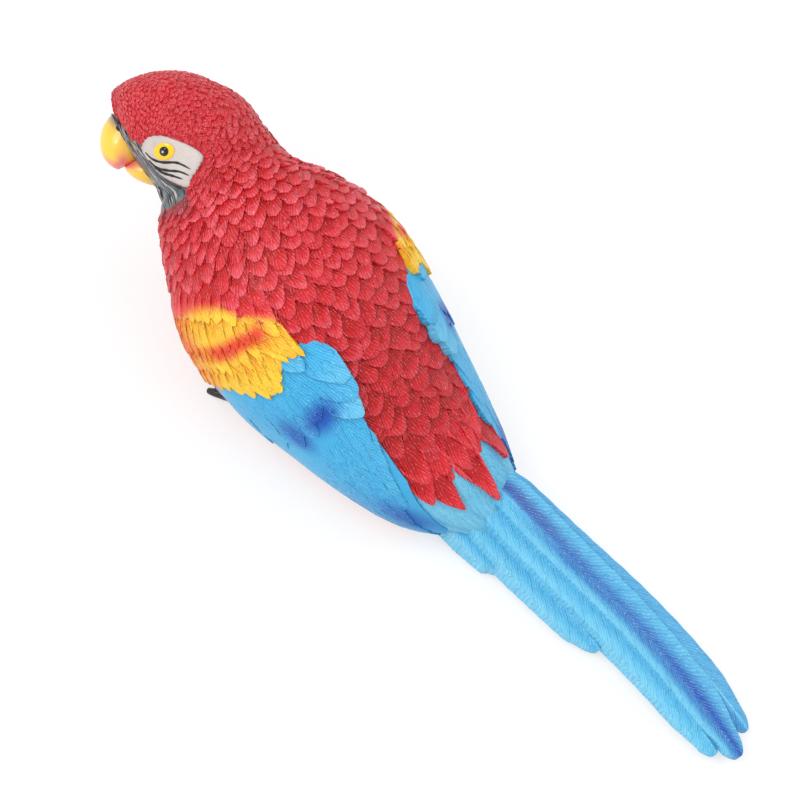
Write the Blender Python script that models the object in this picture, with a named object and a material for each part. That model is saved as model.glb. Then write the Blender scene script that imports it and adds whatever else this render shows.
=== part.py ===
"""Macaw figurine: one painted resin casting that hangs on a wall or a trunk by a blind hole.

It lies back up on the flat that goes to the wall. Sizes are in millimetres and angles in
degrees, and meshes become metres when they are made. +Y points to the head, +Z to the back and
+X to the bird's right. The origin is on the flat, below the middle of the body.
"""

import math
from bisect import bisect_left
from collections import namedtuple

import bmesh
import bpy
from mathutils import Vector
from mathutils.bvhtree import BVHTree

METRES = 0.001

# The head is turned to the bird's left: its left cheek faces up, leaning this much from +Z to -X
CHEEK_LEAN = 27.0
# In the plane of its profile, the bill points this far round from +Y
BILL_HEADING = 49.0

# Sections of the body from the brow to the root of the tail. bend leans a section's axis in the
# plane of the profile, and turn rolls its dorsal line from +Z to the bird's right.
Section = namedtuple("Section", "along side rise bend turn half_width back belly")
BODY_SECTIONS = (
    Section(114.7, 1.4, 54.0, 51, 63, 2.5, 2.5, 2.5),
    Section(113.3, 1.5, 54.1, 51, 63, 6.5, 6.2, 4.0),
    Section(110.0, 1.2, 53.9, 50, 63, 11.0, 10.0, 7.0),
    Section(105.2, 0.5, 56.2, 45, 63, 16.0, 15.0, 12.0),
    Section(100.2, 3.4, 57.7, 37, 63, 19.5, 18.2, 16.6),
    Section(94.6, 6.4, 59.2, 27, 63, 21.5, 19.8, 19.6),
    Section(88.8, 8.7, 60.0, 16, 60, 22.5, 19.8, 20.8),
    Section(82.1, 9.0, 59.6, 2, 50, 23.0, 21.0, 22.0),
    Section(74.8, 6.6, 57.4, -11, 36, 23.4, 21.4, 22.8),
    Section(66.4, 4.4, 53.7, -17, 22, 25.2, 24.0, 26.0),
    Section(54.5, 3.8, 49.5, -15, 10, 31.8, 30.6, 33.0),
    Section(36.0, 1.2, 43.6, -8, 3, 40.0, 35.0, 42.0),
    Section(15.0, 0.0, 38.0, -3, 0, 40.5, 36.0, 44.0),
    Section(-9.0, -0.9, 31.0, 0, 0, 35.4, 33.0, 38.0),
    Section(-30.0, -1.8, 24.5, 0, 0, 30.2, 27.0, 31.0),
    Section(-50.0, -1.4, 18.0, 0, 0, 23.8, 20.5, 22.0),
    Section(-68.0, 1.5, 13.0, 0, 0, 15.0, 12.5, 11.5),
    Section(-80.0, 3.0, 10.0, 0, 0, 9.0, 6.0, 6.0),
)

# Scale feathers in staggered rows round the body
FIRST_ROW = 7.0
HEAD_PITCH = 6.4
RUMP_PITCH = 11.0
SCALLOP = 0.55
HEAD_SCALE_LIFT = 0.7
BACK_SCALE_LIFT = 1.7
VALLEY_LIFT = 0.3
SCALES_ON_BACK = 11
BACK_ARC = 209.0
BELLY_COLUMNS = 8
SCALLOP_SHAPE = (0.0, 0.72, 1.0, 0.72)
LAST_ROW_ALONG = -46.0

# Feathers that lie along the body. angle is measured round the body from the middle of the
# back, and a row runs evenly from its first feather to its last.
Feather = namedtuple("Feather", "root root_angle tip tip_angle")
Row = namedtuple("Row", "name colour count first last half_width lift pointed")
WING_ROWS = (
    Row("upper_yellow", "yellow", 6, Feather(35, 60, 25, 62), Feather(42, 112, 31, 112), 5.2, 1.2, False),
    Row("inner_yellow", "yellow", 2, Feather(21, 42, 10.5, 40), Feather(27, 52, 12.5, 52), 5.0, 2.0, True),
    Row("lower_yellow", "yellow", 5, Feather(27, 61, 7.5, 64), Feather(31, 103, 20.5, 103), 5.6, 2.2, True),
    Row("covert", "blue", 3, Feather(15, 66, -9, 68), Feather(16, 98, -4, 98), 8.6, 3.2, False),
    Row("tertial", "blue", 3, Feather(9, 44, -7, 38), Feather(-4, 48, -17.5, 46), 6.2, 4.4, False),
    Row("primary", "blue", 4, Feather(-10, 70, -54, 82), Feather(-12, 100, -62, 100), 6.0, 3.2, False),
)
RUMP_ROWS = (
    Row("rump", "red", 4, Feather(-32, -45, -53, -48), Feather(-32, 38, -53, 42), 6.2, 1.6, True),
    Row("rump_tip", "red", 4, Feather(-40, -56, -56, -66), Feather(-44, 54, -64, 64), 6.0, 2.6, True),
    Row("rump_centre", "red", 1, Feather(-44, 4, -71, 6), Feather(-44, 4, -71, 6), 6.6, 3.2, False),
)
FEATHER_STEPS = (0.0, 0.35, 0.7, 0.9, 1.0)
ROUND_TIP = (0.75, 1.0, 0.97, 0.72, 0.3)
POINTED_TIP = (0.8, 1.0, 0.78, 0.42, 0.08)
FEATHER_CROWN = 0.7
FEATHER_BURY = 2.0
ROOT_LIFT = 0.2

# The folded wing under its feathers: where its two edges run and how far it stands proud
ShellSection = namedtuple("ShellSection", "along upper_angle lower_angle lift")
WING_SECTIONS = (
    ShellSection(24.0, 54, 116, 0.4),
    ShellSection(10.0, 42, 122, 1.4),
    ShellSection(-4.0, 40, 124, 2.0),
    ShellSection(-18.0, 47, 122, 2.4),
    ShellSection(-30.0, 55, 118, 2.4),
    ShellSection(-42.0, 61, 114, 2.4),
    ShellSection(-55.0, 76, 110, 2.2),
    ShellSection(-64.0, 88, 104, 1.6),
)
TAIL_ROOT_SECTIONS = (
    ShellSection(-46.0, -70, 70, 0.2),
    ShellSection(-54.0, -80, 80, 0.8),
    ShellSection(-64.0, -90, 90, 0.8),
    ShellSection(-74.0, -95, 95, 0.8),
)
SHELL_STRIPS = 5
SHELL_BURY = 3.5
EDGE_SHARE = 0.08
EDGE_SHARPNESS = 0.35

# Long tail feathers, from the lowest to the one on top. They share a sideways sweep near the tip.
Quill = namedtuple("Quill", "name root_x tip_x root_y tip_y half_width root_top tip_top")
TAIL_QUILLS = (
    Quill("short_left", -10.4, -11.2, -54.0, -86.0, 5.0, 20.0, 8.0),
    Quill("short_right", 12.8, 13.2, -54.0, -101.0, 5.4, 20.0, 7.5),
    Quill("outer_left", -5.4, -8.1, -54.0, -131.5, 5.8, 25.0, 6.5),
    Quill("outer_right", 8.8, 12.4, -54.0, -142.0, 5.2, 25.0, 6.5),
    Quill("long_left", -1.4, -0.8, -54.0, -185.5, 6.4, 30.0, 6.2),
    Quill("long_right", 7.9, 14.8, -54.0, -189.0, 6.2, 30.0, 6.2),
    Quill("centre", 4.7, 6.1, -54.0, -192.5, 7.2, 34.0, 8.0),
)
SWEEP_START = -117.0
SWEEP = 0.0018
QUILL_STEPS = (0.0, 0.12, 0.3, 0.5, 0.7, 0.9, 1.0)
QUILL_SHAPE = (0.9, 1.0, 1.0, 1.0, 1.0, 0.95, 0.55)
QUILL_FALL = 0.6
QUILL_RIDGE = 0.9
TAIL_UNDERSIDE = 2.0
TAIL_ROOT_UNDERSIDE = 6.0
QUILL_STAGGER = 0.25

# The face, in its own plane: forward to the bill and up to the crown from the eye
EYE_POSITION = (1.3, 89.6, 54.0)
Profile = namedtuple("Profile", "upper lower half_width")
UPPER_BILL = (
    Profile((15.0, 17.0), (8.0, 1.0), 7.6),
    Profile((17.3, 16.6), (10.9, -0.2), 8.2),
    Profile((21.1, 12.4), (12.6, -1.0), 8.0),
    Profile((22.6, 7.0), (14.4, -1.5), 7.2),
    Profile((22.3, 3.4), (15.6, -1.8), 5.8),
    Profile((21.0, 0.6), (16.6, -2.0), 4.0),
    Profile((19.0, -1.6), (17.6, -2.3), 1.6),
)
LOWER_BILL = (
    Profile((6.0, 1.5), (3.8, -10.4), 6.2),
    Profile((10.6, 0.6), (8.6, -8.5), 6.2),
    Profile((13.2, -0.6), (12.5, -6.1), 5.2),
    Profile((15.2, -1.4), (15.0, -3.1), 3.0),
)
CERE = (
    Profile((8.0, 14.0), (-2.0, -7.5), 13.0),
    Profile((12.0, 15.0), (4.2, -9.8), 12.0),
    Profile((15.2, 16.0), (8.4, -6.0), 10.2),
    Profile((17.4, 16.9), (11.2, -0.6), 8.7),
)
BILL_SIDES = 12
CHEEK_PATCH = (
    (8.2, 3.6), (5.5, 5.9), (2.0, 6.0), (-3.0, 4.2), (-8.5, 0.9), (-12.0, -3.1),
    (-9.3, -7.9), (-6.8, -11.2), (-5.0, -12.0), (0.0, -9.3), (3.4, -5.4), (6.6, -1.6),
)
BARE_SKIN = (
    (14.0, 12.0), (12.5, 10.5), (11.5, 6.5), (8.8, 5.0), (7.3, -1.2), (4.4, -5.1), (-0.5, -9.0),
    (-5.1, -12.2), (-5.4, -14.0), (-2.1, -17.0), (5.0, -18.5), (12.0, -12.0), (18.0, 10.0),
)
PATCH_RINGS = ((1.0, -5.0), (1.0, 0.5), (0.92, 1.0), (0.65, 1.0), (0.3, 1.0))
EYE_BURY = 2.0
IRIS_LENGTH = 3.5
IRIS_HEIGHT = 2.8
IRIS_LIFT = 1.7
PUPIL_RADIUS = 1.5
PUPIL_LIFT = 2.4
EYE_SIDES = 12
SIGHT = 60.0

# Toes that grip the wall, on the left; the right foot is their mirror image
TOE_SIDES = 7
TOE_RADIUS = 2.4
CLAW_RADIUS = 0.6
FRONT_TOE = ((-15, 10, 7), (-22, 15.5, 6.6), (-27, 21, 5.4), (-29.5, 26, 3.4), (-30, 29, 1.2))
REAR_TOE = ((-15, 10, 7), (-20.6, 8, 6.4), (-24.6, 5.5, 5.2), (-25.6, 3.5, 3.2), (-25.6, 1.5, 1.2))
TOE_TAPER = (1.0, 0.95, 0.85, 0.6, 0.25)

# The flat that meets the wall, and the blind hole that it hangs by
HANG_HOLE_RADIUS = 4.0
HANG_HOLE_DEPTH = 15.0
HANG_HOLE_ALONG = 15.0
HANG_HOLE_SIDES = 24
FLAT_ANGLE = 2.5
FLAT_CUTTER_HALF = 260.0
FLAT_CUTTER_DEPTH = 60.0

PAINTS = {
    "red": (0.62, 0.03, 0.05),
    "yellow": (0.85, 0.48, 0.03),
    "blue": (0.09, 0.38, 0.75),
    "deep_blue": (0.03, 0.13, 0.50),
    "white": (0.78, 0.74, 0.70),
    "grey": (0.10, 0.11, 0.12),
    "black": (0.01, 0.01, 0.01),
    "bill_yellow": (0.85, 0.55, 0.08),
}

LEAN = math.radians(CHEEK_LEAN)
CHEEK = Vector((-math.sin(LEAN), 0.0, math.cos(LEAN)))
FLANK = Vector((math.cos(LEAN), 0.0, math.sin(LEAN)))
SPINE = Vector((0.0, 1.0, 0.0))
HEADING = math.radians(BILL_HEADING)
FORWARD = SPINE * math.cos(HEADING) - FLANK * math.sin(HEADING)
CROWN = SPINE * math.sin(HEADING) + FLANK * math.cos(HEADING)


def clear_scene():
    for thing in list(bpy.data.objects):
        bpy.data.objects.remove(thing)


def collection(name):
    made = bpy.data.collections.new(name)
    bpy.context.scene.collection.children.link(made)
    return made


def paint(name):
    made = bpy.data.materials.new(name + "_paint")
    made.use_nodes = True
    shader = made.node_tree.nodes["Principled BSDF"]
    shader.inputs["Base Color"].default_value = (*PAINTS[name], 1.0)
    shader.inputs["Roughness"].default_value = 0.38
    shader.inputs["Metallic"].default_value = 0.0
    made.diffuse_color = (*PAINTS[name], 1.0)
    return made


def add_object(shape, name, colour, group):
    """Turns a finished bmesh, in millimetres, into an object in metres."""
    bmesh.ops.triangulate(shape, faces=shape.faces)
    bmesh.ops.recalc_face_normals(shape, faces=shape.faces)
    bmesh.ops.scale(shape, vec=(METRES,) * 3, verts=shape.verts)
    mesh = bpy.data.meshes.new(name)
    shape.to_mesh(mesh)
    shape.free()
    mesh.materials.append(bpy.data.materials.get(colour + "_paint") or paint(colour))
    made = bpy.data.objects.new(name, mesh)
    group.objects.link(made)
    return made


def loft(rings):
    """Skins a list of rings that have the same number of points, and closes both ends."""
    shape = bmesh.new()
    loops = [[shape.verts.new(point) for point in ring] for ring in rings]
    count = len(loops[0])
    for near, far in zip(loops, loops[1:]):
        for i in range(count):
            j = (i + 1) % count
            shape.faces.new((near[i], near[j], far[j], far[i]))
    shape.faces.new(loops[0])
    shape.faces.new(loops[-1])
    return shape


def curve_value(values, position):
    """Value of a Catmull-Rom curve through evenly numbered values."""
    last = len(values) - 1
    i = min(int(position), last - 1)
    t = position - i
    a, b, c, d = (values[min(max(k, 0), last)] for k in (i - 1, i, i + 1, i + 2))
    return 0.5 * (2 * b + (c - a) * t + (2 * a - 5 * b + 4 * c - d) * t * t + (3 * b - a - 3 * c + d) * t**3)


class Body:
    """The smooth form of head, neck and body, addressed by section number and angle."""

    STEPS_PER_SECTION = 20

    def __init__(self, sections):
        self.columns = list(zip(*sections))
        self.last = len(sections) - 1
        self.grid = [i / self.STEPS_PER_SECTION for i in range(self.last * self.STEPS_PER_SECTION + 1)]
        line = [self.point(position, 0.0) for position in self.grid]
        self.lengths = [0.0]
        for near, far in zip(line, line[1:]):
            self.lengths.append(self.lengths[-1] + (far - near).length)
        self.alongs = [self.section(position).along for position in self.grid]

    def section(self, position):
        position = min(max(position, 0.0), float(self.last))
        return Section(*(curve_value(column, position) for column in self.columns))

    def point(self, position, angle, lift=0.0):
        cut = self.section(position)
        bend = math.radians(cut.bend)
        roll = LEAN + math.radians(cut.turn)
        across = FLANK * math.cos(bend) + SPINE * math.sin(bend)
        dorsal = CHEEK * math.cos(roll) + across * math.sin(roll)
        right = across * math.cos(roll) - CHEEK * math.sin(roll)
        around = math.radians(angle)
        height = cut.back if math.cos(around) > 0 else cut.belly
        out = right * (cut.half_width * math.sin(around)) + dorsal * (height * math.cos(around))
        centre = Vector((cut.side, cut.along, cut.rise))
        return centre + out + (self.normal(position, angle) * lift if lift else Vector())

    def normal(self, position, angle):
        small = 0.02
        start = min(max(position, small), self.last - small)
        along = self.point(start + small, angle) - self.point(start - small, angle)
        around = self.point(start, angle + 1.0) - self.point(start, angle - 1.0)
        return around.cross(along).normalized() * -1.0

    def at_length(self, length):
        """Section number at a length along the middle of the back, from the brow."""
        return self._lookup(self.lengths, length)

    def at_along(self, along):
        """Section number at a place along the body."""
        return self._lookup([-value for value in self.alongs], -along)

    def _lookup(self, table, value):
        k = min(max(bisect_left(table, value), 1), len(table) - 1)
        share = (value - table[k - 1]) / (table[k] - table[k - 1])
        return min(max(self.grid[k - 1] + share * (self.grid[k] - self.grid[k - 1]), 0.0), float(self.last))

    def width_angle(self, position, angle, width):
        """Degrees round the body that a width takes up at this place."""
        per_degree = (self.point(position, angle + 0.5) - self.point(position, angle - 0.5)).length
        return width / per_degree


def column_angles():
    """Angles of the columns round the body, closer together on the back than on the belly."""
    per_scale = len(SCALLOP_SHAPE)
    back_columns = round(SCALES_ON_BACK) * per_scale
    back = [-BACK_ARC / 2 + BACK_ARC * i / back_columns for i in range(back_columns)]
    belly_arc = 360.0 - BACK_ARC
    belly = [BACK_ARC / 2 + belly_arc * i / BELLY_COLUMNS for i in range(BELLY_COLUMNS)]
    return back + belly


def feathered_skin(body):
    """The body as one loft whose rows step down at scalloped edges, as scale feathers do."""
    angles = column_angles()
    length = body.lengths[-1]
    rings = [[body.point(position, angle) for angle in angles] for position in (0, 1)]
    at, row = FIRST_ROW, 0
    stop = body.lengths[int(body.at_along(LAST_ROW_ALONG) * body.STEPS_PER_SECTION)]
    while at < stop:
        share = at / length
        pitch = HEAD_PITCH + (RUMP_PITCH - HEAD_PITCH) * share
        lift = HEAD_SCALE_LIFT + (BACK_SCALE_LIFT - HEAD_SCALE_LIFT) * min(1.0, 2 * share)
        stagger = len(SCALLOP_SHAPE) // 2 * (row % 2)
        tips, roots = [], []
        for k, angle in enumerate(angles):
            scalloped = k < round(SCALES_ON_BACK) * len(SCALLOP_SHAPE)
            bulge = SCALLOP_SHAPE[(k + stagger) % len(SCALLOP_SHAPE)] if scalloped else 0.0
            position = body.at_length(at + pitch * SCALLOP * bulge)
            tips.append(body.point(position, angle, lift * (0.5 + 0.5 * bulge)))
            roots.append(body.point(position, angle, VALLEY_LIFT * lift))
        rings += [tips, roots]
        at += pitch
        row += 1
    rings.append([body.point(body.last, angle) for angle in angles])
    return loft(rings)


def row_feathers(row):
    """The feathers of a row, evenly spaced from its first to its last."""
    for i in range(row.count):
        share = i / max(row.count - 1, 1)
        yield Feather(*(a + (b - a) * share for a, b in zip(row.first, row.last)))


def laid_feather(body, row, feather, side):
    """One feather that lies along the body, tapering into it at its root."""
    shape = POINTED_TIP if row.pointed else ROUND_TIP
    rings = []
    for share, width in zip(FEATHER_STEPS, shape):
        position = body.at_along(feather.root + (feather.tip - feather.root) * share)
        angle = side * (feather.root_angle + (feather.tip_angle - feather.root_angle) * share)
        half = body.width_angle(position, angle, row.half_width * width)
        top = row.lift * (ROOT_LIFT + (1 - ROOT_LIFT) * share)
        crown = top + FEATHER_CROWN * width
        ring = ((-half, -FEATHER_BURY), (-half, top), (0.0, crown), (half, top), (half, -FEATHER_BURY))
        rings.append([body.point(position, angle + turn, lift) for turn, lift in ring])
    return loft(rings)


def shell(body, sections, side):
    """A shell that stands proud of the body, rounded at its edges and buried in the body."""
    rings = []
    for cut in sections:
        position = body.at_along(cut.along)
        outer, inner = [], []
        for i in range(SHELL_STRIPS + 1):
            share = i / SHELL_STRIPS
            angle = side * (cut.upper_angle + (cut.lower_angle - cut.upper_angle) * share)
            fullness = math.sin(math.pi * min(max(share, EDGE_SHARE), 1 - EDGE_SHARE)) ** EDGE_SHARPNESS
            outer.append(body.point(position, angle, cut.lift * fullness))
            inner.append(body.point(position, angle, -SHELL_BURY))
        rings.append(outer + inner[::-1])
    return loft(rings)


def tail_quill(quill, order):
    """One long tail feather with a raised shaft, flat below."""
    rings = []
    for share, width in zip(QUILL_STEPS, QUILL_SHAPE):
        y = quill.root_y + (quill.tip_y - quill.root_y) * share
        x = quill.root_x + (quill.tip_x - quill.root_x) * share - SWEEP * min(0.0, y - SWEEP_START) ** 2
        top = quill.root_top + (quill.tip_top - quill.root_top) * share ** QUILL_FALL
        bottom = TAIL_ROOT_UNDERSIDE + (TAIL_UNDERSIDE - TAIL_ROOT_UNDERSIDE) * min(1.0, 2 * share)
        bottom += QUILL_STAGGER * order
        half = quill.half_width * width
        ring = ((-half, bottom), (-half, top - QUILL_RIDGE), (0.0, top), (half, top - QUILL_RIDGE), (half, bottom))
        rings.append([Vector((x + across, y, z)) for across, z in ring])
    return loft(rings)


def on_face(forward, up, out=0.0):
    return Vector(EYE_POSITION) + FORWARD * forward + CROWN * up + CHEEK * out


def bill_part(profiles):
    """A bill shape from cuts across it, each an ellipse between an upper and a lower point."""
    rings = []
    for cut in profiles:
        upper, lower = on_face(*cut.upper), on_face(*cut.lower)
        centre, half = (upper + lower) / 2, (upper - lower) / 2
        ring = []
        for i in range(BILL_SIDES):
            turn = 2 * math.pi * i / BILL_SIDES
            ring.append(centre + half * math.cos(turn) + CHEEK * cut.half_width * math.sin(turn))
        rings.append(ring)
    return loft(rings)


def face_surface(skin):
    """A function that finds the head's surface at a place on the face, on either cheek."""
    tree = BVHTree.FromObject(skin, bpy.context.evaluated_depsgraph_get())

    def surface(forward, up, side, lift):
        start = on_face(forward, up, side * SIGHT) * METRES
        hit = tree.ray_cast(start, CHEEK * -side)[0]
        return hit / METRES + CHEEK * (side * lift)

    return surface


def paint_bare_skin(skin):
    """Paints the skin between the bill and the cheeks grey, down to the throat."""
    skin.data.materials.append(bpy.data.materials.get("grey_paint") or paint("grey"))
    for face in skin.data.polygons:
        offset = face.center / METRES - Vector(EYE_POSITION)
        forward, up = offset.dot(FORWARD), offset.dot(CROWN)
        face.material_index = int(inside(forward, up, BARE_SKIN))


def inside(x, y, outline):
    """Whether a point is inside a closed outline: a line from it crosses an odd number of sides."""
    crossings = 0
    for (ax, ay), (bx, by) in zip(outline, outline[1:] + outline[:1]):
        if (ay > y) != (by > y) and x < ax + (bx - ax) * (y - ay) / (by - ay):
            crossings += 1
    return crossings % 2 == 1


def cheek_patch(surface, side):
    """The bare patch round the eye, a thin plate that follows the cheek."""
    middle = sum((Vector(spot) for spot in CHEEK_PATCH), Vector((0.0, 0.0))) / len(CHEEK_PATCH)
    rings = []
    for spread, lift in PATCH_RINGS:
        spots = [middle + (Vector(spot) - middle) * spread for spot in CHEEK_PATCH]
        rings.append([surface(spot.x, spot.y, side, lift) for spot in spots])
    return loft(rings)


def eye_disc(surface, side, length, height, lift):
    """A low dome on the cheek patch, for the iris or the pupil."""
    centre = surface(0.0, 0.0, side, 0.0)
    rings = []
    for spread, rise in ((1.0, -EYE_BURY), (1.0, lift * 0.75), (0.6, lift)):
        ring = []
        for i in range(EYE_SIDES):
            turn = 2 * math.pi * i / EYE_SIDES
            spot = FORWARD * (length * spread * math.cos(turn)) + CROWN * (height * spread * math.sin(turn))
            ring.append(centre + spot + CHEEK * (side * rise))
        rings.append(ring)
    return loft(rings)


def toe(path, side):
    """A curved, tapering toe with its claw."""
    points = [Vector((-side * x, y, z)) for x, y, z in path]
    rings = []
    for i, point in enumerate(points):
        near, far = points[max(i - 1, 0)], points[min(i + 1, len(points) - 1)]
        facing = (far - near).to_track_quat("Z", "Y").to_matrix()
        radius = CLAW_RADIUS + (TOE_RADIUS - CLAW_RADIUS) * TOE_TAPER[i]
        ring = []
        for k in range(TOE_SIDES):
            turn = 2 * math.pi * k / TOE_SIDES
            ring.append(point + facing @ Vector((radius * math.cos(turn), radius * math.sin(turn), 0.0)))
        rings.append(ring)
    return loft(rings)


def add_rows(body, rows, side, suffix, group):
    for row in rows:
        for i, feather in enumerate(row_feathers(row)):
            add_object(laid_feather(body, row, feather, side), f"{row.name}{suffix}_{i}", row.colour, group)


def add_plumage(body, group):
    for side, hand in ((-1, "left"), (1, "right")):
        add_object(shell(body, WING_SECTIONS, side), f"wing_{hand}", "blue", group)
        add_rows(body, WING_ROWS, side, f"_{hand}", group)
    add_object(shell(body, TAIL_ROOT_SECTIONS, 1), "tail_root", "blue", group)
    add_rows(body, RUMP_ROWS, 1, "", group)
    for i, quill in enumerate(TAIL_QUILLS):
        add_object(tail_quill(quill, i), f"tail_{quill.name}", "blue", group)


def add_head_and_feet(skin, group):
    add_object(bill_part(UPPER_BILL), "upper_bill", "bill_yellow", group)
    add_object(bill_part(LOWER_BILL), "lower_bill", "bill_yellow", group)
    add_object(bill_part(CERE), "cere", "grey", group)
    surface = face_surface(skin)
    for side, hand in ((1, "left"), (-1, "right")):
        add_object(cheek_patch(surface, side), f"cheek_{hand}", "white", group)
        add_object(eye_disc(surface, side, IRIS_LENGTH, IRIS_HEIGHT, IRIS_LIFT), f"iris_{hand}", "yellow", group)
        add_object(eye_disc(surface, side, PUPIL_RADIUS, PUPIL_RADIUS, PUPIL_LIFT), f"pupil_{hand}", "black", group)
        for path, which in ((FRONT_TOE, "front"), (REAR_TOE, "rear")):
            add_object(toe(path, -side), f"{which}_toe_{hand}", "grey", group)


def add_cutters(group):
    below = bmesh.new()
    bmesh.ops.create_cube(below, size=1.0)
    bmesh.ops.scale(below, vec=(FLAT_CUTTER_HALF, 2 * FLAT_CUTTER_HALF, FLAT_CUTTER_DEPTH), verts=below.verts)
    bmesh.ops.translate(below, vec=(0, 0, -FLAT_CUTTER_DEPTH / 2), verts=below.verts)
    add_object(below, "below_flat", "red", group)
    hole = bmesh.new()
    overrun = 5.0
    bmesh.ops.create_cone(
        hole, cap_ends=True, segments=HANG_HOLE_SIDES, radius1=HANG_HOLE_RADIUS, radius2=HANG_HOLE_RADIUS,
        depth=HANG_HOLE_DEPTH + overrun,
    )
    bmesh.ops.translate(hole, vec=(0, HANG_HOLE_ALONG, (HANG_HOLE_DEPTH - overrun) / 2), verts=hole.verts)
    add_object(hole, "hanging_hole", "red", group)


def hide(group):
    for thing in group.objects:
        thing.hide_render = True
        thing.display_type = "WIRE"


def combine(thing, operation, group):
    step = thing.modifiers.new(operation.lower(), "BOOLEAN")
    step.operation = operation
    step.solver = "EXACT"
    step.operand_type = "COLLECTION"
    step.collection = group
    step.material_mode = "TRANSFER"


def join_flat_faces(thing):
    """Joins nearly coplanar faces that the unions cut up, so that the casting stays light."""
    step = thing.modifiers.new("join_flat_faces", "DECIMATE")
    step.decimate_type = "DISSOLVE"
    step.angle_limit = math.radians(FLAT_ANGLE)
    step.delimit = {"MATERIAL"}


def main():
    clear_scene()
    parts, plumage, cutters = collection("parrot_figurine"), collection("plumage"), collection("cutters")
    body = Body(BODY_SECTIONS)
    skin = add_object(feathered_skin(body), "parrot", "red", parts)
    paint_bare_skin(skin)
    add_plumage(body, plumage)
    add_head_and_feet(skin, plumage)
    add_cutters(cutters)
    hide(plumage)
    hide(cutters)
    combine(skin, "UNION", plumage)
    combine(skin, "DIFFERENCE", cutters)
    join_flat_faces(skin)


main()
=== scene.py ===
"""Dresses the macaw wall figurine: carved plumage, face and feet in hand-painted cast resin.

Sizes are in millimetres and angles in degrees, as in the part's source, and they become metres
when a piece is made. +Y points to the head, +Z to the back and +X to the bird's right.
"""

import math
from collections import namedtuple

import bmesh
import bpy
import numpy as np
from bpy.props import FloatProperty, FloatVectorProperty, PointerProperty
from mathutils import Matrix, Vector
from mathutils.bvhtree import BVHTree


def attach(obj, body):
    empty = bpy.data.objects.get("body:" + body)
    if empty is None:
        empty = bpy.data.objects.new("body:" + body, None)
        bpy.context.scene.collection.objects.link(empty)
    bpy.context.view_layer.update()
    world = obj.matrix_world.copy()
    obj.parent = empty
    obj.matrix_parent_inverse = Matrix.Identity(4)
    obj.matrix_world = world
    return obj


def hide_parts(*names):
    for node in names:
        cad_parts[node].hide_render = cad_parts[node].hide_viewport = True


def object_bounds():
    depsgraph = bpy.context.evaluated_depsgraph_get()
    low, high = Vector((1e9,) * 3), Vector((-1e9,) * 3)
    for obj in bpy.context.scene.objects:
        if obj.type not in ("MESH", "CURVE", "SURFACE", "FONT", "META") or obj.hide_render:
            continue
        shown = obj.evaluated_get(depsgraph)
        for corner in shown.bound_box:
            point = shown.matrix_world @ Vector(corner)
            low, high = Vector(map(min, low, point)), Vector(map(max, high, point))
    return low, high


bl_info = {
    "name": "Macaw figurine dressing",
    "version": (1, 0, 0),
    "blender": (4, 5, 0),
    "location": "3D View > Sidebar > Figurine",
    "description": "Builds the carved plumage, face, feet and studio of a painted macaw casting",
    "category": "Object",
}

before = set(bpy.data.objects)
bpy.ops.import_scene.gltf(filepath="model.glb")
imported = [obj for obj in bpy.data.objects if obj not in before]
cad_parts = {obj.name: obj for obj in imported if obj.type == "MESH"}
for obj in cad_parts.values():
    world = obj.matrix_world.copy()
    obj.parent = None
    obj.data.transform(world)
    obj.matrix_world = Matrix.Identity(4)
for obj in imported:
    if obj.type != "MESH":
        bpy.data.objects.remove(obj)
CAD_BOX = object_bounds()
METRES = 0.001

# The body: sections from the brow to the root of the tail, as the part's source has them
Section = namedtuple("Section", "along side rise bend turn half_width back belly")
BODY_SECTIONS = (
    Section(114.7, 1.4, 54.0, 51, 63, 2.5, 2.5, 2.5),
    Section(113.3, 1.5, 54.1, 51, 63, 6.5, 6.2, 4.0),
    Section(110.0, 1.2, 53.9, 50, 63, 11.0, 10.0, 7.0),
    Section(105.2, 0.5, 56.2, 45, 63, 16.0, 15.0, 12.0),
    Section(100.2, 3.4, 57.7, 37, 63, 19.5, 18.2, 16.6),
    Section(94.6, 6.4, 59.2, 27, 63, 21.5, 19.8, 19.6),
    Section(88.8, 8.7, 60.0, 16, 60, 22.5, 19.8, 20.8),
    Section(82.1, 9.0, 59.6, 2, 50, 23.0, 21.0, 22.0),
    Section(74.8, 6.6, 57.4, -11, 36, 23.4, 21.4, 22.8),
    Section(66.4, 4.4, 53.7, -17, 22, 25.2, 24.0, 26.0),
    Section(54.5, 3.8, 49.5, -15, 10, 31.8, 30.6, 33.0),
    Section(36.0, 1.2, 43.6, -8, 3, 40.0, 35.0, 42.0),
    Section(15.0, 0.0, 38.0, -3, 0, 40.5, 36.0, 44.0),
    Section(-9.0, -0.9, 31.0, 0, 0, 35.4, 33.0, 38.0),
    Section(-30.0, -1.8, 24.5, 0, 0, 30.2, 27.0, 31.0),
    Section(-50.0, -1.4, 18.0, 0, 0, 23.8, 20.5, 22.0),
    Section(-68.0, 1.5, 13.0, 0, 0, 15.0, 12.5, 11.5),
    Section(-80.0, 3.0, 10.0, 0, 0, 9.0, 6.0, 6.0),
)
# The head faces the bird's left: its cheek leans from +Z, and the bill points round from +Y
LEAN = math.radians(27.0)
HEADING = math.radians(49.0)
CHEEK = np.array((-math.sin(LEAN), 0.0, math.cos(LEAN)))
FLANK = np.array((math.cos(LEAN), 0.0, math.sin(LEAN)))
SPINE = np.array((0.0, 1.0, 0.0))
FORWARD = SPINE * math.cos(HEADING) - FLANK * math.sin(HEADING)
CROWN = SPINE * math.sin(HEADING) + FLANK * math.cos(HEADING)
EYE = np.array((1.3, 89.6, 54.0))

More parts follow.
